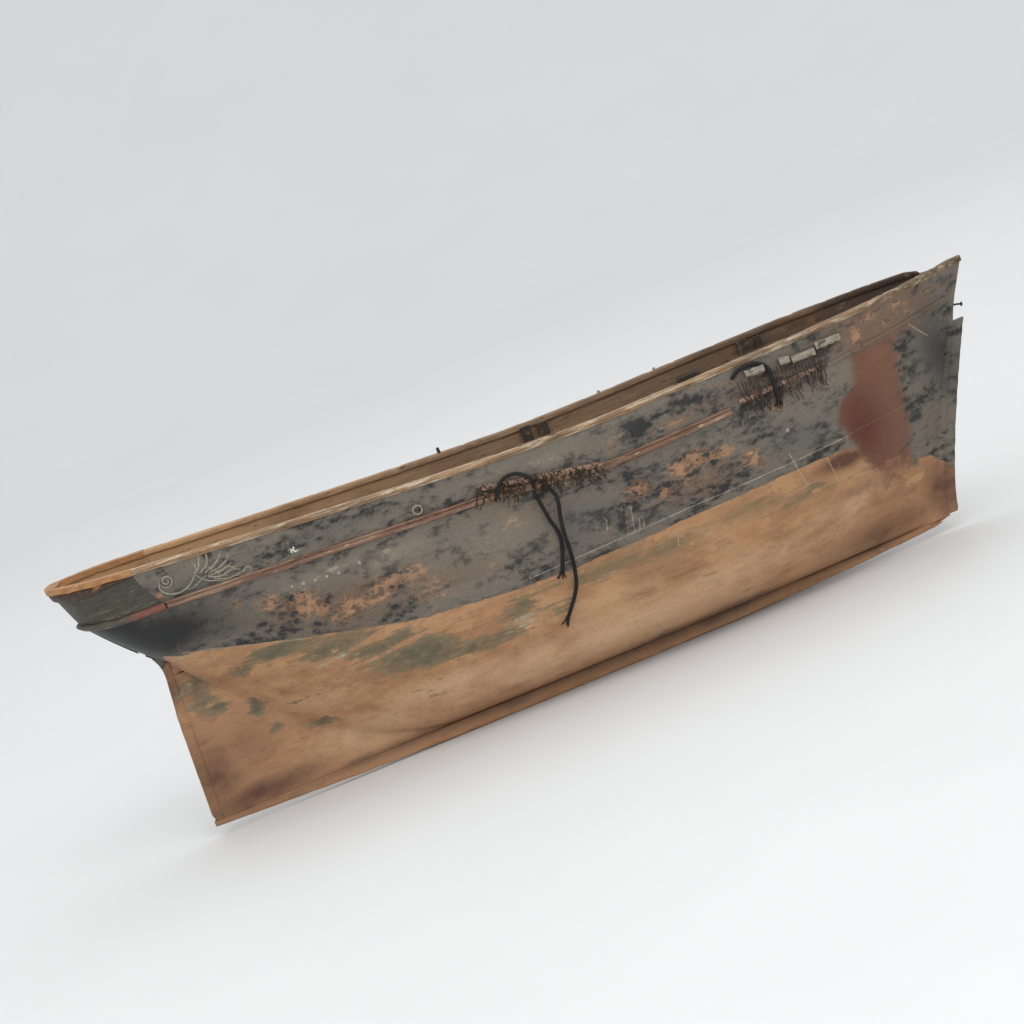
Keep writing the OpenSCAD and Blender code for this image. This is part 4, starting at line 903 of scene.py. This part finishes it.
STRAKE_X = [-490, -390, -240, -50, 30, 80, 210, 320, 460, 500]
STRAKE_DROP = [44, 45, 41, 38, 43, 47.5, 45, 41.5, 34.5, 33]
STRAKE_OUTLINE = [(0, -4), (1.6, -4), (2.8, -3.2), (3.3, -2), (3.4, 0.2), (2.2, 0.9), (2.2, 1.3), (3.4, 1.8),
                  (4, 2.6), (3.7, 3.5), (2.6, 4), (0, 4)]
MOULDING_OUTLINE = [(0, -2), (1, -2), (1.8, -1.2), (2, 0), (1.8, 1.2), (1, 2), (0, 2)]


def strake_z(x):
    return rail_z(x) - np.interp(x, STRAKE_X, STRAKE_DROP)


def side_strip(side, x0, x1, outline, middle_z, step=2.5, sink=0.6):
    """A strip that lies on the side along X, with its outline given as out and up."""
    rings = []
    for x in np.linspace(x0, x1, max(4, round((x1 - x0) / step)) + 1):
        z = float(middle_z(x))
        rings.append([(x, side * (float(side_y(x, z + h)) + (out if out > 0 else -sink)), z + h)
                      for out, h in outline])
    return skin(rings)


for name, side in SIDES:
    points, faces = side_strip(side, -383.7, 213, STRAKE_OUTLINE, strake_z)
    uneven(points, 14, 0.4, 2, 2.0)
    uneven(points, 7, 0.35, 1, 2.0)
    piece(f"strake_{name}_moulded", (points, faces), [strake_paint], [f"strake_{name}"], 30)
    points, faces = side_strip(side, 320, 466, MOULDING_OUTLINE, strake_z)
    uneven(points, 10, 0.3, 2, 2.0)
    age(piece(f"bow_moulding_{name}_moulded", (points, faces), [hull_paint],
              [f"bow_moulding_{name}"], 30))

# ---- Channels, boards and battens ----
# Strips that held the shrouds off the side. The main one has slipped at its fore end and its paint has
# faded to a dusty brown. The fore channel's board has broken into pale grey pieces.

look = Finish("faded_dusty_batten")
look.two_tones(look.grain(1.6, (16, 2, 1)), "#6b5145", "#a68a78", 0.8, 0.2)
look.coat(look.grain(7, (2, 1, 1), low=0.46, high=0.62), "#4a3b32", 0.85, 0.1)
faded_batten = look.done(0.3)
look = Finish("weathered_grey_board")
look.two_tones(look.grain(1.5, (14, 2, 1)), "#6f675b", "#a49b8b", 0.85, 0.25)
look.coat(look.grain(6, low=0.52, high=0.68), "#4c443b", 0.85, -0.1)
weathered_board = look.done(0.25)
BATTEN = [(0, -3), (3.6, -3), (4.7, -2.2), (5, -0.8), (5, 1), (4.6, 2.3), (3.4, 3), (0, 3)]
THIN_BATTEN = [(0, -2.5), (3, -2.5), (3.8, -1.7), (4, 0), (3.8, 1.7), (3, 2.5), (0, 2.5)]
BOARD = [(0, -3.5), (6.6, -3.5), (7.7, -2.6), (8, -1), (8, 1.2), (7.6, 2.8), (6.4, 3.5), (0, 3.5)]
FORE_BATTEN_Z = RAIL_LOW_Z - 39.5
# The fore channel's broken lengths: each one's start, length and drop
BOARD_X = 238
BOARDS = ((0, 20, 0), (36, 11, -2), (49, 25, -5), (76, 27, -2))


def batten_z(x):
    return RAIL_LOW_Z - 20 - 25 * (x + 53) / 128


for name, side in SIDES:
    middle = batten_z if side < 0 else (lambda x: RAIL_LOW_Z - 20)
    points, faces = side_strip(side, -53, 75, BATTEN, middle, 1.5)
    uneven(points, 6, 0.8, 2, 2.0)
    uneven(points, 5, 0.6, 1, 3.0)
    piece(f"main_channel_{name}_batten", (points, faces), [faded_batten],
          [f"main_channel_{name}"], 30)
    boards = []
    for start, length, drop in BOARDS:
        x0 = BOARD_X + start

        def board_z(x):
            return RAIL_LOW_Z - 16 + drop - (x - x0) / length

        boards.append(side_strip(side, x0, x0 + length, BOARD, board_z, 1.5))
    points, faces = join(boards)
    uneven(points, 5, 0.9, 2, 2.0)
    uneven(points, 6, 0.9, 0, 3.0)
    piece(f"fore_channel_{name}_boards", (points, faces), [weathered_board],
          [f"fore_channel_{name}"], 30)
    points, faces = side_strip(side, 223, 319, THIN_BATTEN, lambda x: FORE_BATTEN_Z, 1.5)
    uneven(points, 7, 0.6, 2, 2.0)
    piece(f"fore_batten_{name}_strip", (points, faces), [faded_batten],
          [f"fore_batten_{name}"], 30)

# ---- Chain wires ----
# Thin iron wires that once held the deadeyes, hooked over the battens and now bent, rusty and cut
# short. Each hangs from its batten in its own crooked curl.

look = Finish("rusty_bent_wire")
look.two_tones(look.grain(1.2), "#241c17", "#4c3b2d", 0.75, 0.15)
look.coat(look.grain(9, low=0.55, high=0.68), "#92795c", 0.85, 0.1)
rusty_wire = look.done(0.4, 0.3)


def open_tree(name, inputs, output):
    """A geometry nodes tree with named inputs, the identifiers they are set by, and their outputs."""
    tree = bpy.data.node_groups.new(name, "GeometryNodeTree")
    sockets = {}
    for label, kind in inputs.items():
        socket = tree.interface.new_socket(label, in_out="INPUT", socket_type=f"NodeSocket{kind}")
        sockets[label] = socket.identifier
    tree.interface.new_socket(output, in_out="OUTPUT", socket_type="NodeSocketGeometry")
    return tree, sockets, add(tree, "NodeGroupInput").outputs


def chance(tree, low, high, seed):
    """A number of its own for each point, between low and high."""
    return add(tree, "FunctionNodeRandomValue", {2: low, 3: high, "Seed": seed}, data_type="FLOAT").outputs[1]


def wires_tree(name):
    """Geometry nodes that hang one bent wire from each point."""
    tree, sockets, given = open_tree(name, {
        "Batten points": "Geometry", "Wire length": "Float", "Shortest share": "Float",
        "Wire radius": "Float",
        "Curl": "Float", "Lean": "Float", "Seed": "Int", "Wire material": "Material"}, "Wires")
    line = add(tree, "GeometryNodeCurvePrimitiveLine", {"Start": (0, 0, 0), "End": (0, 0, -1)})
    size = chance(tree, given["Shortest share"], 1.0, given["Seed"])
    size = add(tree, "ShaderNodeMath", {0: size, 1: given["Wire length"]}, operation="MULTIPLY")
    lean_low = add(tree, "ShaderNodeMath", {0: given["Lean"], 1: -1.0}, operation="MULTIPLY")
    lean = chance(tree, lean_low.outputs[0], given["Lean"], given["Seed"])
    turn = add(tree, "ShaderNodeCombineXYZ", {"X": 0.0, "Y": lean, "Z": 0.0})
    hung = add(tree, "GeometryNodeInstanceOnPoints", {
        "Points": given["Batten points"], "Instance": line.outputs[0], "Rotation": turn.outputs[0],
        "Scale": size.outputs[0]})
    real = add(tree, "GeometryNodeRealizeInstances", {0: hung.outputs[0]})
    fine = add(tree, "GeometryNodeResampleCurve", {"Curve": real.outputs[0], "Count": 12})
    where = add(tree, "GeometryNodeInputPosition")
    wave = add(tree, "ShaderNodeTexNoise", {"Vector": where.outputs[0], "Scale": 95.0, "Detail": 1.0})
    middle = (0.5, 0.5, 0.5)
    centred = add(tree, "ShaderNodeVectorMath", {0: wave.outputs["Color"], 1: middle}, operation="SUBTRACT")
    down = add(tree, "GeometryNodeSplineParameter")
    bend = add(tree, "ShaderNodeMath", {0: down.outputs["Factor"], 1: given["Curl"]}, operation="MULTIPLY")
    moved = add(tree, "ShaderNodeVectorMath", {0: centred.outputs[0], "Scale": bend.outputs[0]},
                operation="SCALE")
    bent = add(tree, "GeometryNodeSetPosition", {"Geometry": fine.outputs[0], "Offset": moved.outputs[0]})
    ring = add(tree, "GeometryNodeCurvePrimitiveCircle", {"Resolution": 6, "Radius": given["Wire radius"]})
    body = add(tree, "GeometryNodeCurveToMesh", {
        "Curve": bent.outputs[0], "Profile Curve": ring.outputs[0], "Fill Caps": True})
    dressed = add(tree, "GeometryNodeSetMaterial", {
        "Geometry": body.outputs[0], "Material": given["Wire material"]})
    add(tree, "NodeGroupOutput", {0: dressed.outputs[0]})
    return tree, sockets


def grown(name, points_mm, tree, sockets, values, nodes=()):
    """A mesh of points, grown by geometry nodes into a plain mesh."""
    mesh = bpy.data.meshes.new(name)
    mesh.from_pydata([tuple(c * MM for c in p) for p in points_mm], [], [])
    obj = bpy.data.objects.new(name, mesh)
    bpy.context.collection.objects.link(obj)
    modifier = obj.modifiers.new(name, "NODES")
    modifier.node_group = tree
    for label, value in values.items():
        modifier[sockets[label]] = value
    full = bpy.data.meshes.new_from_object(obj.evaluated_get(bpy.context.evaluated_depsgraph_get()))
    obj.modifiers.clear()
    obj.data = full
    full.shade_smooth()
    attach(obj, "root")
    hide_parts(*nodes)
    return obj


wire_nodes, wire_sockets = wires_tree("bent_wires")
rng = random.Random(11)
main_hooks = []
for i in range(96):
    x = -52 + 126 * (i + rng.uniform(0.1, 0.9)) / 96
    z = batten_z(x) + rng.uniform(-3, 4)
    main_hooks.append((x, -(float(side_y(x, z)) + rng.uniform(4.6, 6.6)), z))
fore_hooks = []
for i in range(26):
    x = 226 + 91 * (i + rng.uniform(0.2, 0.8)) / 26
    z = 244 + rng.uniform(-2, 3)
    fore_hooks.append((x, -(float(side_y(x, z)) + rng.uniform(4, 6)), z))
lower_hooks = []
for i in range(34):
    x = 225 + 92 * (i + rng.uniform(0.1, 0.9)) / 34
    y = -(float(side_y(x, FORE_BATTEN_Z)) + rng.uniform(3.4, 4.6))
    lower_hooks.append((x, y, FORE_BATTEN_Z + rng.uniform(-1, 2)))
for name, hooks, length, shortest, curl, lean, seed, nodes in (
        ("main_chain_wires_bent", main_hooks, 0.022, 0.3, 0.02, 0.8, 4, ["main_chain_wires"]),
        ("fore_chain_wires_bent", fore_hooks, 0.026, 0.6, 0.006, 0.1, 8, ["fore_chain_wires"]),
        ("fore_lower_wires_bent", lower_hooks, 0.026, 0.4, 0.016, 0.5, 12, [])):
    grown(name, hooks, wire_nodes, wire_sockets, {
        "Wire length": length, "Shortest share": shortest, "Wire radius": 0.00055, "Curl": curl, "Lean": lean,
        "Seed": seed, "Wire material": rusty_wire}, nodes)

# ---- Nails, ring bolt and pegs ----
# Round-headed iron nails, dulled and whitened on their heads, an eye bolt with a loose ring, and the
# bent nail in the bow.

look = Finish("dull_iron")
look.two_tones(look.grain(1.5), "#6a6256", "#b0a797", 0.6, 0.1)
dull_iron = look.done(0.5, 0.1)


def heads_tree():
    """Geometry nodes that set one domed nail head on each point, facing starboard."""
    tree, sockets, given = open_tree("nail_heads", {
        "Nail places": "Geometry", "Head radius": "Float", "Seed": "Int", "Nail material": "Material"},
        "Nails")
    dome = add(tree, "GeometryNodeMeshUVSphere", {"Segments": 16, "Rings": 10, "Radius": 1.0})
    flat = add(tree, "GeometryNodeTransform", {"Geometry": dome.outputs[0], "Scale": (1.0, 0.55, 1.0)})
    size = chance(tree, 0.85, 1.15, given["Seed"])
    size = add(tree, "ShaderNodeMath", {0: size, 1: given["Head radius"]}, operation="MULTIPLY")
    set_in = add(tree, "GeometryNodeInstanceOnPoints", {
        "Points": given["Nail places"], "Instance": flat.outputs[0], "Scale": size.outputs[0]})
    real = add(tree, "GeometryNodeRealizeInstances", {0: set_in.outputs[0]})
    dressed = add(tree, "GeometryNodeSetMaterial", {
        "Geometry": real.outputs[0], "Material": given["Nail material"]})
    add(tree, "NodeGroupOutput", {0: dressed.outputs[0]})
    return tree, sockets


head_nodes, head_sockets = heads_tree()
nail_places = []
for x, z in [(-261 + 12.2 * i, 223.5 - 1.2 * i) for i in range(5)] + [(-189, 220.5), (258, 179.5)]:
    nail_places.append((x, -float(side_y(x, z)) - 0.3, z))
grown("side_nail_heads", nail_places, head_nodes, head_sockets,
      {"Head radius": 0.002, "Seed": 2, "Nail material": dull_iron}, ["side_nails"])

x, z = -114.0, RAIL_LOW_Z - 13
y = -float(side_y(x, z))
RING_R, RING_WIRE_R, RING_TILT = 4.6, 0.85, 0.9
eye = skin(tube([Vector((x, y + out, z)) for out in (1, -2.4, -4.8)], lambda s: 1.3 - 0.4 * s, 14))
middle = Vector((x, y - 3.2, z - 3.9))
ring_rings = []
for a in np.linspace(0, 2 * math.pi, 41)[:-1]:
    p = middle + Vector((RING_R * math.cos(a), -RING_TILT * math.sin(a), RING_R * math.sin(a)))
    outward = (p - middle).normalized()
    ring_rings.append([p + (outward * math.cos(b) + Vector((0, 1, 0)) * math.sin(b)) * RING_WIRE_R
                       for b in np.linspace(0, 2 * math.pi, 13)[:-1]])
piece("ring_bolt_worn", join([eye, skin(ring_rings, closed=True)]), [dull_iron], ["ring_bolt"], 50)

bow_nail_path = smooth_route([(472, 0, 219.5), (477, 0, 219), (481, 0, 217.8), (483.2, 0, 217)], 5)
head_path = [Vector(p) for p in ((482.4, 0, 217.2), (483.4, 0, 216.9), (484, 0, 216.7))]
bow_nail = join([skin(tube(bow_nail_path, 1.0, 12)), skin(tube(head_path, lambda s: 2.4 - 0.6 * s, 16))])
piece("bow_nail_bent", bow_nail, [rusty_wire], ["bow_nail"], 50)

# ---- Quarter scrolls ----
# Carved scroll work on each quarter: a spiral, its stem and spiky leaves, thin and once gilded, now
# a dusty cream on the blue-grey board.

look = Finish("worn_cream_gilding")
look.two_tones(look.grain(3), "#6f6a5b", "#a29d88", 0.75, 0.1)
look.coat(look.grain(4, low=0.62, high=0.74), "#b0935a", 0.6)
worn_gilt = look.done(0.4)


def spiral(cx, cz, r0, r1, turns, start, steps=30):
    points = []
    for k in range(steps + 1):
        r, a = r0 + (r1 - r0) * k / steps, start + turns * 2 * math.pi * k / steps
        points.append((cx + r * math.cos(a), cz + r * math.sin(a)))
    return points


# Each line of the carving: points along and up, and its greatest width
SCROLL_LINES = [
    (spiral(-375, 277, 1.5, 7.5, -1.7, 0.6), 1.7),
    ([(-382, 279), (-384, 271), (-378, 264), (-368, 261), (-358, 263), (-350, 268), (-345, 274),
      (-341, 280)], 1.8),
    ([(-362, 262), (-352, 261), (-342, 265), (-334, 268)], 1.3),
    ([(-346, 273), (-340, 277), (-336, 285), (-335, 289)], 2.2),
    ([(-343, 275), (-342, 281), (-344, 286)], 1.8),
    ([(-340, 272), (-331, 277), (-328, 283), (-327, 288)], 2.2),
    ([(-336, 270), (-324, 274), (-316, 280), (-313, 285)], 2.2),
    ([(-333, 268), (-320, 270), (-309, 275), (-307, 281)], 1.9),
    ([(-334, 266), (-320, 266), (-306, 270)], 1.9),
    ([(-334, 265), (-322, 261), (-310, 263), (-301, 260)], 1.9),
    ([(-330, 262), (-318, 256), (-308, 256), (-299, 252)], 1.7),
    ([(-345, 271), (-337, 262), (-327, 258), (-318, 253)], 1.5),
    ([(-312, 268), (-306, 264), (-302, 266)], 1.3),
    ([(-308, 257), (-300, 257), (-294, 260), (-291, 256), (-296, 253), (-301, 255)], 1.4),
    ([(-325, 268), (-322, 262), (-316, 259)], 1.2), ([(-330, 274), (-326, 268), (-318, 267)], 1.2),
]


def carving(side):
    parts = []
    for points, width in SCROLL_LINES:
        flat = smooth_route([(x, 0, z) for x, z in points], 3 if len(points) > 20 else 6)
        path = [Vector((p.x, side * (float(side_y(p.x, p.z)) + 0.15), p.z)) for p in flat]

        def swelling(s):
            """Thin at its start, full in the middle and pointed at its end."""
            return width / 2 * (0.35 + 0.65 * math.sin(math.pi * min(1, 0.15 + s * 0.85)))

        parts.append(skin(tube(path, swelling, 8)))
    return join(parts)


for name, side in SIDES:
    piece(f"quarter_scroll_{name}_carved", carving(side), [worn_gilt], [f"quarter_scroll_{name}"], 60)

# ---- Deck and inside fittings ----
# Narrow deck planks, unvarnished and grey-brown with dust, with dark seams between them. Beams, mast
# steps and collars are plain sawn wood. Ledges, posts and a block stand inside the port bulwark.

HALF_PLANK = 7.0
look = Finish("dusty_deck_planks")
look.two_tones(look.grain(1.8, (20, 1, 1)), "#574636", "#83705a", 0.8, 0.15)
look.coat(look.grain(26, low=0.45, high=0.75), "#44372c", 0.85)
across = look.add("ShaderNodeSeparateXYZ", {0: look.place}).outputs["Y"]
plank = look.add("ShaderNodeMath", {0: across, 1: HALF_PLANK}, operation="PINGPONG").outputs[0]
look.coat(look.ramp(plank, 0.25, 0.6, 1.0, 0.0), "#241c16", 0.9, -0.4)
deck_planks = look.done(0.3)
look = Finish("dark_stained_block")
look.two_tones(look.grain(2, (8, 2, 2)), "#2a241f", "#43382f", 0.7, 0.15)
look.coat(look.grain(7, low=0.56, high=0.72), "#6b5c4c", 0.85)
dark_block = look.done(0.3)
MASTS = ("fore", "main", "mizzen")
kept_nodes = {
    "deck": deck_planks, "deck_beams": inner_wood, "bow_chock": inner_wood,
    **{f"{mast}_mast_partner": inner_wood for mast in MASTS}, **{f"{mast}_mast_step": inner_wood for mast in MASTS},
    "main_pin_ledge": inner_wood, "fore_pin_ledge": inner_wood, "main_posts": dark_block,
    "fore_posts": dark_block,
    "deck_block": dark_block, "rail_peg": dark_block, "rail_nails": dull_iron,
}
for node, material in kept_nodes.items():
    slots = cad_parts[node].data.materials
    slots.clear()
    slots.append(material)

# ---- Floor and light ----
# A pale studio floor that sweeps up all round into its wall, so that no edge shows behind the hull.

FLOOR_FLAT, FLOOR_CURVE, FLOOR_SIDES, UNDER = 4.5, 3.5, 96, 0.0002
profile = [(FLOOR_FLAT * k / 12, 0) for k in range(1, 13)] + [
    (FLOOR_FLAT + FLOOR_CURVE * math.sin(a), FLOOR_CURVE * (1 - math.cos(a)))
    for a in np.linspace(0.08, math.pi / 2, 16)]
round_angles = np.linspace(0, 2 * math.pi, FLOOR_SIDES + 1)[:-1]
rings = [[(r * math.cos(a), r * math.sin(a), z - UNDER) for a in round_angles] for r, z in profile]
floor_faces = [tuple(range(FLOOR_SIDES))]
for i in range(len(rings) - 1):
    low, high = i * FLOOR_SIDES, (i + 1) * FLOOR_SIDES
    for j in range(FLOOR_SIDES):
        after = (j + 1) % FLOOR_SIDES
        floor_faces.append((low + j, high + j, high + after, low + after))
floor_mesh = bpy.data.meshes.new("studio_floor")
floor_mesh.from_pydata([p for ring in rings for p in ring], [], floor_faces)
floor_mesh.shade_smooth()
floor = bpy.data.objects.new("studio_floor", floor_mesh)
bpy.context.collection.objects.link(floor)
floor.visible_shadow = False
look = Finish("matt_pale_floor")
look.two_tones(look.grain(400), "#dcdddd", "#dfe0e0", 0.6)
floor_mesh.materials.append(look.done(0.2))

world = bpy.data.worlds.new("studio")
scene.world = world
world.use_nodes = True
background = world.node_tree.nodes["Background"].inputs
background["Color"].default_value = linear("#fafbfc")
background["Strength"].default_value = 1.02
# Each lamp's place in metres, its size and its power
for name, at, size, power in (("key", (1.2, -2.6, 2.9), 2.4, 38), ("fill", (-3.2, -2.2, 1.6), 2.2, 10),
                              ("top", (0, 1.2, 3.4), 3.0, 16), ("low", (0.4, -2.9, 0.5), 2.0, 12)):
    lamp = bpy.data.lights.new(name, "AREA")
    lamp.energy = power
    lamp.size = size
    light = bpy.data.objects.new(name, lamp)
    light.location = at
    light.rotation_euler = (Vector((0, 0, 0.15)) - Vector(at)).to_track_quat("-Z", "Y").to_euler()
    bpy.context.collection.objects.link(light)

bpy.context.view_layer.update()
